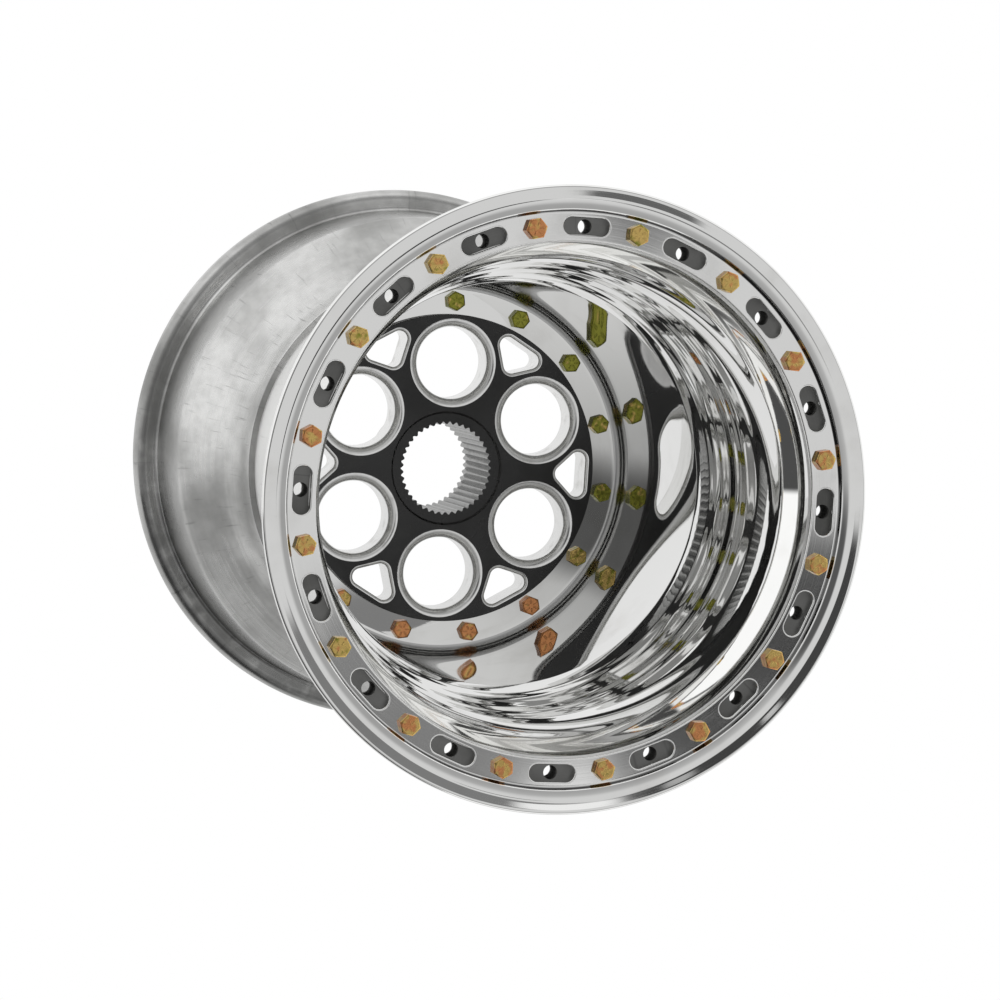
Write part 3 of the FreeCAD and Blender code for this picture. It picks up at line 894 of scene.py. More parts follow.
@dataclass
class Sheet:
    """Sizes that both spun halves share, and the holes in their flanges."""

    wall: float = 5.0
    inside_fillet: float = 5.0
    edge_round: float = 1.0
    bore_radius: float = 113.5
    joint_height: float = 145.0
    hole_radius: float = 4.37
    bolts: BoltCircle = field(default_factory=lambda: BoltCircle(15, 123.2, 6.62))

    @property
    def flange_face(self) -> float:
        """Height of the outer half's flange face."""
        return self.joint_height + self.wall

    def flange(self, skin: Skin, front: float, front_radius: float, back: float,
               back_radius: float) -> None:
        """Adds a flange with its bore and bolt holes.

        Args:
            skin: The piece's patches.
            front: Height of the front face.
            front_radius: Outer edge of the front face.
            back: Height of the back face.
            back_radius: Outer edge of the back face.
        """
        holes = self.bolts.holes(self.hole_radius)
        openings = [circle(self.bore_radius)] + [hole(0.0) for hole in holes]
        skin.plate([circle(front_radius)] + openings, front, Facing.FRONT)
        skin.plate([circle(back_radius)] + openings, back, Facing.BACK)
        skin.turned(np.array([[self.bore_radius, front], [self.bore_radius, back]]))
        for hole in holes:
            skin.carried(hole, [(0.0, front), (0.0, back)])


@dataclass
class OuterHalf:
    """Polished spun half: flange, long dish wall, bell, hollow, throat, flare and neck."""

    sheet: Sheet
    foot_radius: float = 137.4
    foot_fillet: float = 6.0
    wall_length: float = 160.0
    wall_radius: float = 140.5
    crease: float = 15.0
    bell_slope: float = 6.0
    bell_run: float = 0.5
    bell_sweep: float = 150.0
    rise_slope: float = 16.5
    rise_run: float = 26.914
    hollow_sweep: float = 170.0
    throat_slope: float = 1.5
    throat_run: float = 16.34
    flare_length: float = 10.5
    flare_width: float = 8.5
    flare_bend: float = 3.0
    neck_length: float = 16.5
    groove_radius: float = 136.5
    groove_width: float = 3.6
    groove_depth: float = 2.0
    face_edge: float = 129.5

    def corners(self) -> list[tuple[float, float]]:
        """Wall end, bell, rise, throat and flare: each bend's corner follows from the bends before it."""
        wall_end = (self.wall_radius, self.sheet.flange_face + self.wall_length)
        wall_slope = math.degrees(math.atan2(self.wall_radius - self.foot_radius, self.wall_length))
        bell_reach = bend_reach(self.bell_sweep, self.rise_slope - self.bell_slope)
        hollow_reach = bend_reach(self.hollow_sweep, self.rise_slope - self.throat_slope)
        first = bend_reach(self.crease, self.bell_slope - wall_slope) + self.bell_run + bell_reach
        bell = along(wall_end, self.bell_slope, first)
        rise = along(bell, self.rise_slope, bell_reach + self.rise_run + hollow_reach)
        throat = along(rise, self.throat_slope, hollow_reach + self.throat_run)
        return [wall_end, bell, rise, throat, (throat[0] + self.flare_width, throat[1] + self.flare_length)]

    @property
    def lock_plane(self) -> float:
        """Height of the plane that the bead lock bolts against."""
        return self.corners()[-1][1] + self.neck_length

    def wall_at(self, height: float) -> float:
        """Inside radius of the dish's straight wall at a height."""
        share = (height - self.sheet.flange_face) / self.wall_length
        return self.foot_radius + (self.wall_radius - self.foot_radius) * share

    def build(self) -> bpy.types.Object:
        """Makes the half, with its seal groove and bolt holes."""
        sheet = self.sheet
        wall_end, bell, rise, throat, flare = self.corners()
        line = [
            (sheet.bore_radius, sheet.flange_face, 0.0, 0.0),
            (self.foot_radius, sheet.flange_face, self.foot_fillet, sheet.edge_round),
            (*wall_end, self.crease, None),
            (*bell, self.bell_sweep, None),
            (*rise, self.hollow_sweep, None),
            (*throat, self.flare_bend, None),
            (*flare, self.flare_bend, None),
            (flare[0], self.lock_plane, 0.0, 0.0),
        ]
        near, far = sheet_faces(line, sheet.wall, sheet.inside_fillet)
        low = self.groove_radius - self.groove_width / 2
        high = self.groove_radius + self.groove_width / 2
        roof = sheet.joint_height + self.groove_depth
        section = [(self.face_edge, sheet.flange_face, 0.0)] + near[1:] + far[:0:-1] + [
            (high, sheet.joint_height, 0.0), (high, roof, 0.0), (low, roof, 0.0),
            (low, sheet.joint_height, 0.0)]
        outline = rounded_line(section)
        outside = np.arange(len(outline) - 1) >= np.argmax(outline[:, 1])
        skin = Skin("outer_half_shell")
        skin.turned(outline, outside.astype(int))
        sheet.flange(skin, sheet.flange_face, self.face_edge, sheet.joint_height, low)
        return skin.piece([SPUN, SATIN], "outer_half")


@dataclass
class InnerHalf:
    """Raw spun half: joint flange, barrel, bead seat and rolled rim edge."""

    sheet: Sheet
    joint_radius: float = 146.6
    barrel: Corner = (149.5, 118.0, 45.0)
    seat_front: Corner = (184.0, 74.0, 8.0)
    seat_back_radius: float = 188.6
    flange_height: float = 13.5
    flange_radius: float = 204.6
    flange_foot: float = 4.0
    flange_roll: float = 8.6
    face_edge: float = 132.0

    def build(self) -> bpy.types.Object:
        """Makes the half, with its bolt holes."""
        sheet = self.sheet
        line = [
            (sheet.bore_radius, sheet.joint_height, 0.0, 0.0),
            (self.joint_radius, sheet.joint_height, sheet.edge_round, None),
            (*self.barrel, None),
            (*self.seat_front, None),
            (self.seat_back_radius, self.flange_height, self.flange_foot, None),
            (self.flange_radius, self.flange_height, self.flange_roll, None),
            (self.flange_radius, 0.0, 0.0, 0.0),
        ]
        near, far = sheet_faces(line, sheet.wall, sheet.inside_fillet)
        back = sheet.joint_height - sheet.wall
        section = [(self.face_edge, sheet.joint_height, 0.0)] + near[1:] + far[:0:-1]
        section.append((self.face_edge, back, 0.0))
        outline = rounded_line(section)
        inside = np.arange(len(outline) - 1) >= np.argmin(outline[:, 1])
        skin = Skin("inner_half_shell")
        skin.turned(outline, inside.astype(int))
        sheet.flange(skin, sheet.joint_height, self.face_edge, back, self.face_edge)
        # The inside's finish is darkened as painted shade.
        return skin.piece([RAW, SHADED_INSIDE_METAL], "inner_half")


@dataclass
class WheelCentre:
    """Black centre: splined hub, web with round and corner windows, pilot and bolting rim."""

    sheet: Sheet
    thickness: float = 26.0
    rim_radius: float = 133.0
    rim_thickness: float = 10.0
    pilot_gap: float = 0.2
    pilot_chamfer: float = 0.3
    hub_length: float = 69.85
    hub_radius: float = 41.3
    hub_fillet: float = 6.0
    hub_chamfer: float = 1.5
    seat_radius: float = 42.0
    seat_depth: float = 1.5
    windows: BoltCircle = field(default_factory=lambda: BoltCircle(6, 77.8, 18.62))
    window_radius: float = 26.4
    window_edge: float = 6.2
    window_rows: int = 14
    window_steps: int = 120
    corner_inner: float = 84.6
    corner_land: float = 5.9
    corner_width: float = 33.2
    corner_round: float = 6.0
    corner_edge: float = 2.4
    teeth: int = 42
    pitch_radius: float = 33.34
    addendum: float = 0.79
    dedendum: float = 1.07
    flank_angle: float = 40.0
    tooth_land: float = 2.2

    @property
    def rim_back(self) -> float:
        """Height of the web's and the rim's back."""
        return self.sheet.joint_height - self.sheet.wall - self.rim_thickness

    @property
    def face(self) -> float:
        """Height of the black front face."""
        return self.rim_back + self.thickness

    def spline(self) -> Array:
        """Outline of the spline's bore: tip and root corners of each tooth, with straight flanks."""
        quarter = math.pi * self.pitch_radius / self.teeth / 2
        lean = math.tan(math.radians(self.flank_angle))
        tip, root = self.pitch_radius - self.addendum, self.pitch_radius + self.dedendum
        tip_half = (quarter + self.addendum * lean) / tip
        root_half = (quarter - self.dedendum * lean) / root
        radius = np.tile([tip, root, root, tip], self.teeth)
        aside = np.tile([-tip_half, -root_half, root_half, tip_half], self.teeth)
        return swept(radius, np.repeat(angles(self.teeth), 4) + aside, 0.0)[:, :2]

    def corner_window(self, turn: float) -> Outline:
        """Outline of a corner window: three rounded corners and straight sides, pointing at the axle."""
        half = self.corner_width / 2 - self.corner_round
        inner = self.corner_inner + self.corner_round
        outer = self.sheet.bore_radius - self.pilot_gap - self.corner_land - self.corner_round
        centres = np.array([[inner, 0.0], [outer, -half], [outer, half]])
        runs = np.roll(centres, -1, axis=0) - centres
        side = np.arctan2(-runs[:, 0], runs[:, 1])
        first = np.roll(side, 1)
        sweep = (side - first) % (2 * math.pi)
        share = np.linspace(0, 1, ROUND_STEPS + 1)
        turns = first[:, None] + sweep[:, None] * share

        def outline(growth: float) -> Array:
            """The window's outline, grown all round."""
            rounds = swept(self.corner_round + growth, turns, 0.0)[..., :2]
            return placed((centres[:, None] + rounds).reshape(-1, 2), 0.0, turn)

        return outline

    def build(self) -> bpy.types.Object:
        """Makes the centre: black faces, and bare metal where it was cut after the black went on."""
        black, bare, cut = 0, 1, 2
        sheet, face, back = self.sheet, self.face, self.rim_back
        pilot = sheet.bore_radius - self.pilot_gap
        rim_face = back + self.rim_thickness
        hub_back = face - self.hub_length
        seat = face - self.seat_depth
        skin = Skin("wheel_centre_body")
        rounds = self.windows.holes(self.window_radius, self.window_steps)
        corners = [self.corner_window(turn + 180 / self.windows.count) for turn in self.windows.turns()]
        holes = sheet.bolts.holes(sheet.hole_radius)
        fronts = [circle(self.seat_radius)] + [item(self.window_edge) for item in rounds]
        fronts += [item(self.corner_edge) for item in corners]
        skin.plate([circle(pilot - self.pilot_chamfer)] + fronts, face, Facing.FRONT, black)
        web_inner = self.hub_radius + self.hub_fillet + GUARD
        web_outer = self.rim_radius - sheet.edge_round - GUARD
        backs = [circle(web_inner)] + [item(sheet.edge_round) for item in rounds]
        backs += [item(0.0) for item in corners + holes]
        skin.plate([circle(web_outer)] + backs, back, Facing.BACK, black)
        skin.plate([circle(web_outer), circle(pilot)] + [item(0.0) for item in holes],
                   rim_face, Facing.FRONT, black)
        rim = [(web_outer, rim_face, 0.0), (self.rim_radius, rim_face, sheet.edge_round),
               (self.rim_radius, back, sheet.edge_round), (web_outer, back, 0.0)]
        skin.turned(rounded_line(rim), black)
        skin.turned(np.array([[pilot, rim_face], [pilot, face - self.pilot_chamfer],
                              [pilot - self.pilot_chamfer, face]]), black)
        skin.turned(rounded_line([(web_inner, back, 0.0), (self.hub_radius, back, self.hub_fillet),
                                  (self.hub_radius, hub_back + self.hub_chamfer, 0.0),
                                  (self.hub_radius - self.hub_chamfer, hub_back, 0.0)]), bare)
        skin.turned(np.array([[self.seat_radius, face], [self.seat_radius - self.seat_depth, seat]]), black)
        self.bore(skin, hub_back, seat, black, bare, cut)
        for item in rounds:
            skin.carried(item, rounded_edge(self.window_edge, face, self.window_rows) + [
                (0.0, back + sheet.edge_round), (sheet.edge_round, back)], bare)
        for item in corners:
            skin.carried(item, rounded_edge(self.corner_edge, face) + [(0.0, back)], bare)
        for item in holes:
            skin.carried(item, [(0.0, rim_face), (0.0, back)], black)
        return skin.piece([BLACK, MACHINED, BROACHED], "wheel_centre")

    def bore(self, skin: Skin, low: float, high: float, black: int, bare: int, cut: int) -> None:
        """Adds the spline's teeth, the nut seat in front of them and the hub's end face behind.

        The teeth are bare, and the black stays at the bottom of the grooves.

        Args:
            skin: The piece's patches.
            low: Height of the hub's back.
            high: Height of the nut seat.
            black: Index of the black finish.
            bare: Index of the bare finish.
            cut: Index of the teeth's finish.
        """
        outline = self.spline()
        turn = np.arctan2(outline[:, 1], outline[:, 0])
        land = swept(self.pitch_radius + self.tooth_land, turn, 0.0)[:, :2]
        for height, radius, finish in ((high, self.seat_radius - self.seat_depth, black),
                                       (low, self.hub_radius - self.hub_chamfer, bare)):
            skin.grid(np.stack([at_height(outline, height), at_height(land, height)]), finish)
            facing = Facing.FRONT if height == high else Facing.BACK
            skin.plate([circle(radius), land], height, facing, finish)
        walls = np.stack([at_height(outline, height) for height in (high, low)])
        skin.grid(walls, np.resize([cut, black, cut, cut], len(outline)))


@dataclass
class BeadLock:
    """Polished lock ring with oblong slots and a broad lip, the ring behind it, and its weld."""

    sheet: Sheet
    plane: float
    neck_radius: float
    plate: float = 4.5
    bore_step: float = 1.0
    inner_land: float = 9.5
    outer_land: float = 9.5
    foot_width: float = 1.4
    foot_rise: float = 3.4
    foot_round: float = 0.8
    step_sweep: float = 12.0
    step_width: float = 7.0
    lip_width: float = 10.5
    lip_rise: float = 10.0
    lip_thickness: float = 5.0
    lip_round: float = 2.0
    bolt_count: int = 16
    slot_length: float = 31.5
    slot_width: float = 11.8
    slot_bevel: float = 1.0
    slot_rows: int = 5
    slot_steps: int = 20
    face_margin: float = 1.4
    back_margin: float = 2.2
    ring_step: float = 2.0
    base_step: float = 3.0
    base_depth: float = 16.0
    shoulder_width: float = 7.5
    shoulder: float = 5.0
    tapped_radius: float = 4.02
    spare_radius: float = 4.7625
    thread_depth: float = 0.55
    thread_pitch: float = 1.41
    weld_leg: float = 5.0
    weld_toe: float = 1.2
    weld_ripples: int = 330
    weld_samples: int = 4
    weld_rows: int = 9
    weld_lag: float = 1.4
    weld_swell: float = 0.25
    weld_bulge: float = 0.9
    weld_droop: float = 0.5
    weld_spill: float = 0.2
    weld_sink: float = 0.6
    weld_root: tuple[float, float, float] = (1.5, 1.2, 0.8)
    weld_sharp: float = 70.0

    def __post_init__(self) -> None:
        """Works out the radii, each from the one inside it."""
        self.bore_radius = self.neck_radius + self.bore_step
        self.bolts = BoltCircle(self.bolt_count, self.bore_radius + self.inner_land)
        self.spares = BoltCircle(self.bolt_count, self.bolts.radius, 180 / self.bolt_count)
        self.face_radius = self.bolts.radius + self.outer_land
        self.lip_inner = self.face_radius + self.step_width
        self.lip_radius = self.lip_inner + self.lip_width
        self.base_bore = self.neck_radius + self.sheet.wall
        self.shoulder_radius = self.face_radius + self.shoulder_width

    @property
    def face(self) -> float:
        """Height of the flat bolting face."""
        return self.plane + self.plate

    def slot(self, turn: float) -> Outline:
        """Outline of a slot: two half circles joined by straight sides along the ring."""
        run = (self.slot_length - self.slot_width) / 2
        half = np.linspace(0, math.pi, self.slot_steps + 1)
        turns = np.concatenate([half, half + math.pi])
        shift = np.repeat([run, -run], len(half))

        def outline(growth: float) -> Array:
            """The slot's outline, grown all round."""
            points = swept(self.slot_width / 2 + growth, turns, 0.0)[:, :2]
            points[:, 1] += shift
            return placed(points, self.bolts.radius, turn)

        return outline

    def ring(self) -> bpy.types.Object:
        """Makes the lock ring."""
        sheet, face, plane = self.sheet, self.face, self.plane
        front_edge, back_edge = self.face_radius - self.face_margin, self.face_radius - self.back_margin
        inner = self.bore_radius + sheet.edge_round + GUARD
        lip_front = plane + self.lip_rise
        lip_back = lip_front - self.lip_thickness
        skin = Skin("beadlock_ring_plate")
        skin.turned(rounded_line([
            (front_edge, face, 0.0),
            (self.face_radius, face, self.foot_round),
            (self.face_radius + self.foot_width, face + self.foot_rise, self.lip_round),
            (self.lip_inner, lip_front, self.step_sweep),
            (self.lip_radius, lip_front, self.lip_round),
            (self.lip_radius, lip_back, self.lip_round),
            (self.lip_inner, lip_back, sheet.inside_fillet),
            (self.face_radius, plane, sheet.inside_fillet),
            (back_edge, plane, 0.0),
        ], self.ring_step))
        skin.turned(rounded_line([(inner, face, 0.0), (self.bore_radius, face, sheet.edge_round),
                                  (self.bore_radius, plane, 0.0), (inner, plane, 0.0)], self.ring_step))
        slots = [self.slot(turn) for turn in self.spares.turns()]
        holes = self.bolts.holes(sheet.hole_radius)
        edge = [(self.slot_bevel + GUARD, face)] + rounded_edge(self.slot_bevel, face, self.slot_rows)
        fronts = [item(self.slot_bevel + GUARD) for item in slots] + [item(0.0) for item in holes]
        backs = [item(0.0) for item in slots + holes]
        skin.plate([circle(front_edge), circle(inner)] + fronts, face, Facing.FRONT, 1)
        skin.plate([circle(back_edge), circle(inner)] + backs, plane, Facing.BACK)
        for item in slots:
            skin.carried(item, edge + [(0.0, plane)])
        for item in holes:
            skin.carried(item, [(0.0, face), (0.0, plane)])
        return skin.piece([POLISHED, FACED], "beadlock_ring")

    def base(self) -> bpy.types.Object:
        """Makes the ring behind the lock ring, with threads in its holes: a wave of the holes' radius."""
        sheet, plane = self.sheet, self.plane
        back = plane - self.base_depth
        step = back + self.shoulder
        front_edge = self.face_radius - sheet.edge_round - GUARD
        back_edge = self.shoulder_radius - sheet.edge_round - GUARD
        skin = Skin("beadlock_base_ring_body")
        skin.turned(rounded_line([
            (front_edge, plane, 0.0),
            (self.face_radius, plane, sheet.edge_round),
            (self.face_radius, step, sheet.edge_round),
            (self.shoulder_radius, step, sheet.edge_round),
            (self.shoulder_radius, back, sheet.edge_round),
            (back_edge, back, 0.0),
        ], self.base_step))
        skin.turned(np.array([[self.base_bore, plane], [self.base_bore, back]]))
        holes = self.bolts.holes(self.tapped_radius) + self.spares.holes(self.spare_radius)
        openings = [circle(self.base_bore)] + [item(0.0) for item in holes]
        skin.plate([circle(front_edge)] + openings, plane, Facing.FRONT)
        skin.plate([circle(back_edge)] + openings, back, Facing.BACK)
        levels = np.arange(plane - self.thread_pitch / 2, back, -self.thread_pitch / 2)
        depths = np.resize([self.thread_depth, 0.0], len(levels))
        rows = [(0.0, plane)] + list(zip(depths.tolist(), levels.tolist())) + [(0.0, back)]
        for item in holes:
            skin.carried(item, rows)
        # The ring's finish is darkened as painted shade.
        return skin.piece([SHADED_BASE_METAL], "beadlock_base_ring")

    def weld(self, shell: OuterHalf) -> bpy.types.Object:
        """Makes the weld bead: a bulging section carried round the axle, with overlapping ripples.

        Args:
            shell: The outer half that the bead lies on.

        Returns:
            The bead.
        """
        top = self.plane - self.base_depth
        flare, throat = shell.corners()[-1], shell.corners()[-2]
        low = top - self.weld_leg
        lean = (flare[0] - throat[0]) / (flare[1] - throat[1])
        foot = self.base_bore + min(0.0, (low - flare[1]) * lean) - self.weld_sink
        share = np.linspace(0, 1, self.weld_rows)[:, None]
        turn = angles(self.weld_ripples * self.weld_samples)
        ripple = 0.5 + 0.5 * np.cos(turn * self.weld_ripples + self.weld_lag * share)
        bulge = np.sin(math.pi * share) * (1 - self.weld_swell + self.weld_swell * ripple)
        toe = self.base_bore + self.weld_toe
        radius = foot + (toe - foot) * share + self.weld_bulge * bulge * (1 - share)
        height = low + (top - low) * share - self.weld_droop * bulge * share
        outer = swept(np.minimum(radius, toe + self.weld_spill), turn, height)
        top_root, foot_root, foot_lift = self.weld_root
        hidden = swept_rows([(self.base_bore - top_root, top), (foot - foot_root, low + foot_lift)], turn)
        skin = Skin("base_ring_weld_bead")
        skin.grid(np.concatenate([outer, hidden, outer[:1]]))
        return skin.piece([RAW], "base_ring_weld", sharp=math.radians(self.weld_sharp))


@dataclass
class Fasteners:
    """Five-sixteenths inch bolts, washers and nuts."""

    flats: float = 12.7
    head: float = 5.2
    chamfer: float = 0.9
    thread_radius: float = 3.97
    thread_pitch: float = 1.41
    thread_depth: float = 0.45
    mark_height: float = 0.22
    mark_width: float = 0.75
    mark_inner: float = 1.8
    mark_outer: float = 4.9
    mark_crown: float = 1.5
    top_rows: tuple[float, ...] = (5.1, 4.9, 4.6, 4.0, 3.4, 2.8, 2.3, 1.9, 1.7, 0.8, 0.0)
    washer_radius: float = 8.75
    washer_thickness: float = 1.6
    nut_height: float = 6.8
    washer_edge: float = 0.2
    washer_steps: int = 64
    nut_gap: float = 0.05
    shank_steps: int = 32
    thread_rows: int = 5
    foot_edge: float = 0.15
    side_edge: float = 0.12
    side_lift: float = 0.02
    top_drop: float = 0.05
    hole_radius: float = 4.37
    lock_length: float = 19.0
    centre_length: float = 30.0
    turn_step: float = 23.0
    sharp: float = 24.0
    seed: int = 31
    tint_low: float = 0.42
    tint_range: float = 0.36
    olive_low: float = 0.04
    olive_range: float = 0.18
    warm_rise: float = 0.68
    warm_slope: float = 2.2
    warm_start: float = 0.9

    def hexagon(self, height: float, inner: float) -> Array:
        """Rows of a chamfered hexagon from its foot to the inner edge of its top.

        The side's radius is the hexagon's, and its top edge drops with it where the chamfer's cone cuts.

        Args:
            height: Height of the hexagon.
            inner: Radius at which the rows end, on the foot and on the top.

        Returns:
            Rows of points.
        """
        turn = angles(HEXAGON_STEPS)
        side = hexagon_radius(turn, self.flats)
        corner = self.flats / math.sqrt(3)
        slope = self.chamfer + corner - self.flats / 2
        top_edge = height - self.chamfer * (side - corner + slope) / slope
        cone = corner - slope
        foot, edge = self.foot_edge, self.side_edge
        return swept_rows([
            (inner, 0.0), (side - foot, 0.0), (side, foot), (side, top_edge - edge),
            (side - edge, top_edge + self.side_lift), (cone + foot, height - self.top_drop),
            (cone - foot, height), (inner, height)], turn)

    def thread(self, top: float, bottom: float, steps: int) -> Array:
        """A threaded shank: its radius follows a triangle wave of height over pitch minus share of a turn."""
        turn = angles(steps)
        count = max(2, round((top - bottom) / self.thread_pitch * self.thread_rows))
        level = np.linspace(top, bottom + self.chamfer, count)[:, None]
        wave = np.abs(((level / self.thread_pitch - turn / (2 * math.pi)) % 1) * 2 - 1)
        radius = self.thread_radius - self.thread_depth * wave
        radius[0] = self.thread_radius - self.thread_depth
        return swept(radius, turn, level)

    def bolt(self, length: float) -> list[Array]:
        """Patches of a bolt whose head stands on Z = 0, with six raised strength marks on its top.

        A mark is a smooth ridge across a ray: its height falls with the distance from the ray. The shank
        has fewer points round it than the head, so the two meet under the head but aren't joined.

        Args:
            length: Length under the head.

        Returns:
            Grids of points.
        """
        turn = angles(HEXAGON_STEPS)
        rows = self.hexagon(self.head, self.thread_radius - self.thread_depth)[:-1]
        radius = np.array(self.top_rows)[:, None]
        aside = radius * np.sin(((turn + SIXTH / 2) % SIXTH) - SIXTH / 2)
        ridge = np.clip(self.mark_crown - np.abs(aside) / self.mark_width * 2, 0, 1)
        ridge = ridge * ((radius < self.mark_outer) & (radius > self.mark_inner))
        top = swept(radius, turn, self.head + self.mark_height * ridge)
        shank = self.thread(0.0, -length, self.shank_steps)
        tip = self.thread_radius - self.chamfer
        end = swept_rows([(tip, -length), (0.0, -length)], angles(self.shank_steps))
        return [np.concatenate([rows, top]), np.concatenate([shank, end])]

    def nut(self) -> list[Array]:
        """Patches of a nut that hangs below Z = 0, with a threaded bore."""
        inner = self.thread_radius + self.nut_gap
        rows = self.hexagon(self.nut_height, inner)
        bore = self.thread(self.nut_height, 0.0, HEXAGON_STEPS)
        bore[..., :2] *= inner / self.thread_radius
        rows = np.concatenate([rows, bore[1:], rows[:1]])
        return [rows * np.array([1, -1, -1])]

    def washer(self) -> list[Array]:
        """Patch of a flat washer that hangs below Z = 0, with its edges broken."""
        edge, back = self.washer_edge, -self.washer_thickness
        hole, rim = self.hole_radius, self.washer_radius
        section = [(hole, 0), (rim - edge, 0), (rim, -edge), (rim, edge + back), (rim - edge, back),
                   (hole, back), (hole, 0)]
        return [swept_rows(section, angles(self.washer_steps))]

    def set_out(self, name: str, node: str, grids: Sequence[Array], places: BoltCircle, height: float,
                warm_side: float | None = None) -> bpy.types.Object:
        """Puts a copy of a fastener at each place, each turned a little further, with a tint of its own.

        Args:
            name: Name of the piece.
            node: CAD node that it replaces.
            grids: Patches of one fastener.
            places: Where the copies stand.
            height: Height of the seat.
            warm_side: Angle where the passivation is warmest, if it drifts to olive away from it.

        Returns:
            The piece.
        """
        skin = Skin(name)
        for index, turn in enumerate(places.turns()):
            own = math.radians(self.turn_step * index)
            cos, sin = math.cos(own), math.sin(own)
            spin = np.array([[cos, sin, 0], [-sin, cos, 0], [0, 0, 1]])
            for grid in grids:
                points = (grid @ spin).reshape(-1, 3)
                flat = placed(points[:, :2], places.radius, turn)
                skin.grid(np.column_stack([flat, points[:, 2] + height]).reshape(grid.shape))
        piece = skin.piece([ZINC], node, sharp=math.radians(self.sharp))
        self.tint(piece.data, places, warm_side)
        return piece

    def tint(self, mesh: bpy.types.Mesh, places: BoltCircle, warm_side: float | None) -> None:
        """Writes each fastener's own tint on its points: a seeded draw for the nearest place.

        Args:
            mesh: The fasteners' mesh.
            places: Where they stand.
            warm_side: Angle where the tint is warmest, or None where it is drawn at random.
        """
        co = np.zeros(len(mesh.vertices) * 3, np.float32)
        mesh.vertices.foreach_get("co", co)
        turn = np.degrees(np.arctan2(co[1::3], co[0::3])) - places.first
        index = np.round(turn / (360 / places.count)).astype(int) % places.count
        draws = np.random.default_rng(self.seed + places.count).uniform(0, 1, places.count)
        if warm_side is None:
            draws = self.tint_low + self.tint_range * draws
        else:
            away = np.cos(np.radians(np.array(places.turns()) - warm_side))
            warm = np.clip(away * self.warm_slope - self.warm_start, 0, 1)
            draws = self.olive_low + self.olive_range * draws + self.warm_rise * warm
        layer = mesh.attributes.new("tint", "FLOAT", "POINT")
        layer.data.foreach_set("value", draws[index].astype(np.float32))


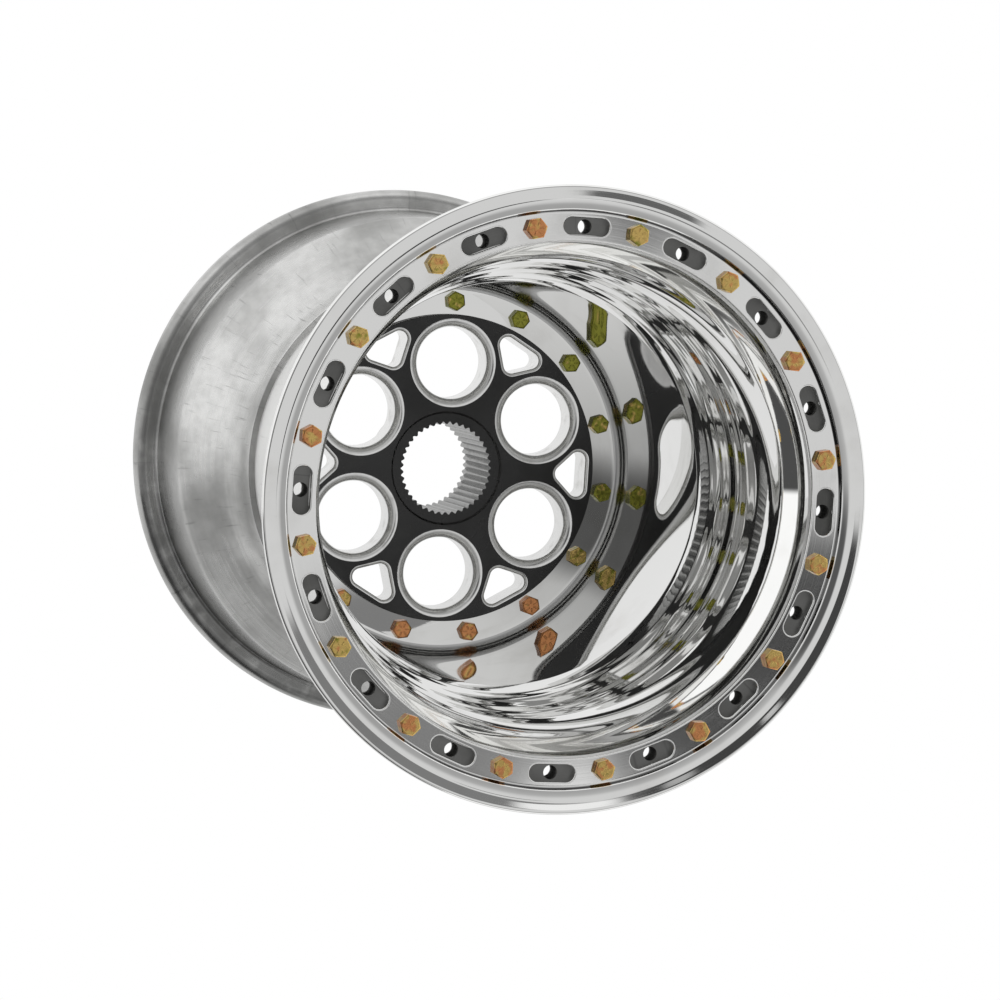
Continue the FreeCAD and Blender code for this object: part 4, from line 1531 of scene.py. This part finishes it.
@dataclass
class TyreValve:
    """Clamped tyre valve on the wall of the dish: flanged stem, seal, washer, nut and cap.

    The cap has no inside: its foot is open where the stem goes in.
    """

    shell: OuterHalf
    turn: float = 157.5
    rise: float = 85.0
    stem_radius: float = 4.1
    base_radius: float = 8.5
    base_thickness: float = 2.0
    seal_thickness: float = 3.0
    washer_radius: float = 8.0
    washer_thickness: float = 1.8
    nut_flats: float = 12.0
    nut_height: float = 5.0
    reach: float = 20.0
    cap_radius: float = 5.2
    cap_length: float = 11.0
    cap_top: float = 2.5
    gap: float = 0.05
    knurls: int = 24
    knurl_steps: int = 4
    knurl_depth: float = 0.25
    knurl_edge: float = 0.3
    seat_gap: float = 0.1
    nut_edge: float = 0.3
    nut_chamfer: float = 0.8
    nut_top: float = 0.4
    base_rounds: tuple[float, float] = (0.6, 0.4)
    stem_round: float = 0.5
    seal_round: float = 0.3
    washer_round: float = 0.5
    cap_rounds: tuple[float, float] = (0.3, 1.2)
    line_step: float = 1.5

    def place(self, points: Array) -> Array:
        """Sets points with their foot on the dish's wall and their +Z towards the axle."""
        height = self.shell.sheet.flange_face + self.rise
        radius = self.shell.wall_at(height) - points[..., 2]
        turn = math.radians(self.turn)
        side, level = points[..., 1], points[..., 0] + height
        return np.stack([radius * math.cos(turn) - side * math.sin(turn),
                         radius * math.sin(turn) + side * math.cos(turn), level], -1)

    def bar(self, name: str, section: Sequence[Corner], finish: Finish, steps: int = 64,
            flutes: float = 0.0) -> bpy.types.Object:
        """Makes a piece turned about the valve's axis.

        Args:
            name: CAD node that the piece replaces.
            section: (radius, depth, rounding) of each corner, in order.
            finish: Its finish.
            steps: Points round the axis.
            flutes: Depth of the knurling where the piece is as wide as the cap.

        Returns:
            The piece.
        """
        line = rounded_line(section, self.line_step)
        wide = line[:, :1] > self.cap_radius - self.knurl_edge
        radius = line[:, :1] - flutes * wide * (np.arange(steps) % 2)
        skin = Skin(name + "_piece")
        skin.grid(self.place(swept(radius, angles(steps), line[:, 1:])))
        return skin.piece([finish], name)

    def build(self) -> list[bpy.types.Object]:
        """Makes the five pieces."""
        wall = self.shell.sheet.wall
        seal_foot = -wall - self.seal_thickness
        base_foot = seal_foot - self.base_thickness
        seal_top = -wall - self.seat_gap
        hole = self.stem_radius + self.gap
        cap_top = self.reach + self.cap_top
        cap_foot = cap_top - self.cap_length
        turn = angles(HEXAGON_STEPS)
        side = hexagon_radius(turn, self.nut_flats)
        low = self.washer_thickness
        high = low + self.nut_height
        nut = Skin("valve_nut_piece")
        nut.grid(self.place(swept_rows([
            (hole, low), (side - self.nut_edge, low), (side, low + self.nut_edge),
            (side, high - self.nut_chamfer),
            (np.minimum(side, self.nut_flats / 2 - self.nut_top), high), (hole, high), (hole, low)], turn)))
        base, stem, washer, cap = self.base_radius, self.stem_radius, self.washer_radius, self.cap_radius
        base_low, base_high = self.base_rounds
        cap_low, cap_high = self.cap_rounds
        return [
            self.bar("valve_stem", [
                (0, base_foot, 0), (base, base_foot, base_low), (base, seal_foot, base_high),
                (stem, seal_foot, 0), (stem, self.reach, self.stem_round), (0, self.reach, 0)], BRASS),
            self.bar("valve_seal", [
                (hole, seal_foot, 0), (base, seal_foot, self.seal_round), (base, seal_top, self.seal_round),
                (hole, seal_top, 0), (hole, seal_foot, 0)], RUBBER),
            self.bar("valve_washer", [
                (hole, self.seat_gap, 0), (washer, self.seat_gap, 0), (washer, low, self.washer_round),
                (hole, low, 0), (hole, self.seat_gap, 0)], BRASS),
            nut.piece([BRASS], "valve_nut"),
            self.bar("valve_cap", [
                (hole, cap_foot, 0), (cap, cap_foot, cap_low), (cap, cap_top, cap_high), (0, cap_top, 0)],
                PLASTIC, self.knurls * self.knurl_steps, self.knurl_depth),
        ]


# Stage


@dataclass(frozen=True)
class Card:
    """A soft patch of light or dark in the sky: its direction as a turn round the axle and a lean from it,
    its spread and soft edge, all in degrees, and its level.
    """

    turn: float
    lean: float
    spread: float
    soft: float
    level: float


@dataclass
class Studio:
    """Pale floor, soft light all round, and the camera."""

    place: tuple[float, float, float] = (-664.683, 286.453, 2651.146)
    target: tuple[float, float, float] = (29.640, -36.889, 230.0)
    up_turn: float = 82.476
    lens: float = 126.908
    sensor: float = 36.0
    shift: tuple[float, float] = (-0.02, 0.02)
    floor_size: float = 9000.0
    floor_level: float = 0.86
    floor_drift: float = 0.16
    floor_bright: float = 100.0
    sky_level: float = 0.40
    cards: tuple[Card, ...] = (
        Card(338.0, 14.0, 13.0, 24.0, 0.70),
        Card(330.5, 22.8, 2.8, 0.6, 0.06),
        Card(326.0, 21.5, 0.12, 0.25, 0.45),
        Card(330.2, 22.5, 0.10, 0.20, 0.60),
        Card(321.4, 17.3, 2.5, 0.5, 0.22),
        Card(322.3, 20.1, 0.6, 0.4, 0.95),
        Card(352.3, 18.8, 0.8, 0.3, 0.14),
        Card(150.0, 21.5, 7.0, 9.0, 0.10),
        Card(217.0, 84.0, 38.0, 2.5, 0.08),
    )
    horizon_level: float = 1.1
    horizon_low: float = 66.0
    horizon_soft: float = 10.0
    floor_fade: float = 200.0
    far_clip: float = 100000.0
    bounces: int = 16
    glossy_bounces: int = 14

    def camera(self) -> None:
        """Sets the camera at the photograph's place, looking at the wheel."""
        data = bpy.data.cameras.new("camera")
        data.sensor_width = self.sensor
        data.lens = self.lens
        data.shift_x, data.shift_y = self.shift
        data.clip_end = self.far_clip * MM
        camera = bpy.data.objects.new("camera", data)
        eye, target = Vector(self.place) * MM, Vector(self.target) * MM
        ahead = (target - eye).normalized()
        turn = math.radians(self.up_turn)
        right = ahead.cross(Vector((math.cos(turn), math.sin(turn), 0.0))).normalized()
        rise = right.cross(ahead)
        camera.matrix_world = Matrix.Translation(eye) @ Matrix((right, rise, -ahead)).transposed().to_4x4()
        bpy.context.scene.collection.objects.link(camera)
        bpy.context.scene.camera = camera

    def floor(self) -> None:
        """Lays a pale floor that shines softly, as a lit table does."""
        half = self.floor_size * MM / 2
        mesh = bpy.data.meshes.new("floor")
        corners = [(-half, -half, 0), (half, -half, 0), (half, half, 0), (-half, half, 0)]
        mesh.from_pydata(corners, [], [(0, 1, 2, 3)])
        material = bpy.data.materials.new("pale_floor")
        material.use_nodes = True
        tree = Tree(material.node_tree)
        place = tree.place()
        away = tree.vector("LENGTH", first=place)["Value"]
        away = tree.math("ADD", away, self.floor_fade * MM)
        share = tree.math("DIVIDE", tree.facing(place, self.floor_bright), away)
        lit = tree.math("ADD", self.floor_level, tree.times(share, self.floor_drift))
        seen = tree.node("ShaderNodeLightPath").outputs["Is Camera Ray"]
        glow = tree.node("ShaderNodeEmission", {"Color": WHITE, "Strength": tree.level(seen, lit, 1.0)})
        tree.node("ShaderNodeOutputMaterial", {"Surface": glow.outputs[0]})
        mesh.materials.append(material)
        floor = bpy.data.objects.new("floor", mesh)
        bpy.context.scene.collection.objects.link(floor)

    def sky(self) -> None:
        """Lights the wheel from all round: an even sky, with soft patches blended over it in order."""
        world = bpy.data.worlds.new("studio")
        bpy.context.scene.world = world
        world.use_nodes = True
        tree = Tree(world.node_tree)
        look = tree.node("ShaderNodeTexCoord").outputs["Generated"]
        rise = tree.node("ShaderNodeSeparateXYZ", {0: look}).outputs[2]
        top = math.cos(math.radians(self.horizon_low - self.horizon_soft))
        level: Any = tree.spread(rise, math.cos(math.radians(self.horizon_low)), top, self.horizon_level,
                                 self.sky_level)
        for card in self.cards:
            low = math.cos(math.radians(card.spread + card.soft))
            high = math.cos(math.radians(card.spread))
            share = tree.spread(tree.facing(look, card.turn, card.lean), low, high)
            level = tree.level(share, level, card.level)
        seen = tree.node("ShaderNodeLightPath").outputs["Is Camera Ray"]
        glow = tree.node("ShaderNodeBackground", {"Color": WHITE, "Strength": tree.level(seen, level, 1.0)})
        tree.node("ShaderNodeOutputWorld", {"Surface": glow.outputs[0]})

    def build(self) -> None:
        """Sets up the floor, the light and the camera."""
        scene = bpy.context.scene
        scene.view_settings.view_transform = "Standard"
        scene.cycles.max_bounces = self.bounces
        scene.cycles.glossy_bounces = self.glossy_bounces
        self.floor()
        self.sky()
        self.camera()


def main() -> None:
    """Builds the wheel's pieces in order, then the studio."""
    logging.basicConfig(level=logging.INFO, format="%(message)s")
    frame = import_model()
    sheet = Sheet()
    shell = OuterHalf(sheet)
    lock = BeadLock(sheet, shell.lock_plane, shell.corners()[-1][0])
    shell.build()
    InnerHalf(sheet).build()
    centre = WheelCentre(sheet)
    centre.build()
    lock.ring()
    lock.base()
    lock.weld(shell)
    fasteners = Fasteners()
    rim_back, nut_seat = centre.rim_back, centre.rim_back - fasteners.washer_thickness
    for node, grids, places, height, warm_side in (
            ("beadlock_bolt", fasteners.bolt(fasteners.lock_length), lock.bolts, lock.face, None),
            ("centre_bolt", fasteners.bolt(fasteners.centre_length), sheet.bolts, sheet.flange_face,
             CENTRE_WARM_SIDE),
            ("centre_washer", fasteners.washer(), sheet.bolts, rim_back, None),
            ("centre_nut", fasteners.nut(), sheet.bolts, nut_seat, None)):
        fasteners.set_out(node + "_set", node + "s", grids, places, height, warm_side)
    TyreValve(shell).build()
    # The hidden seal keeps its CAD shape and only takes the rubber finish
    seal = frame["nodes"]["joint_seal"]
    seal.data.materials.clear()
    seal.data.materials.append(RUBBER.material())
    Studio().build()


if __name__ == "__main__":
    main()
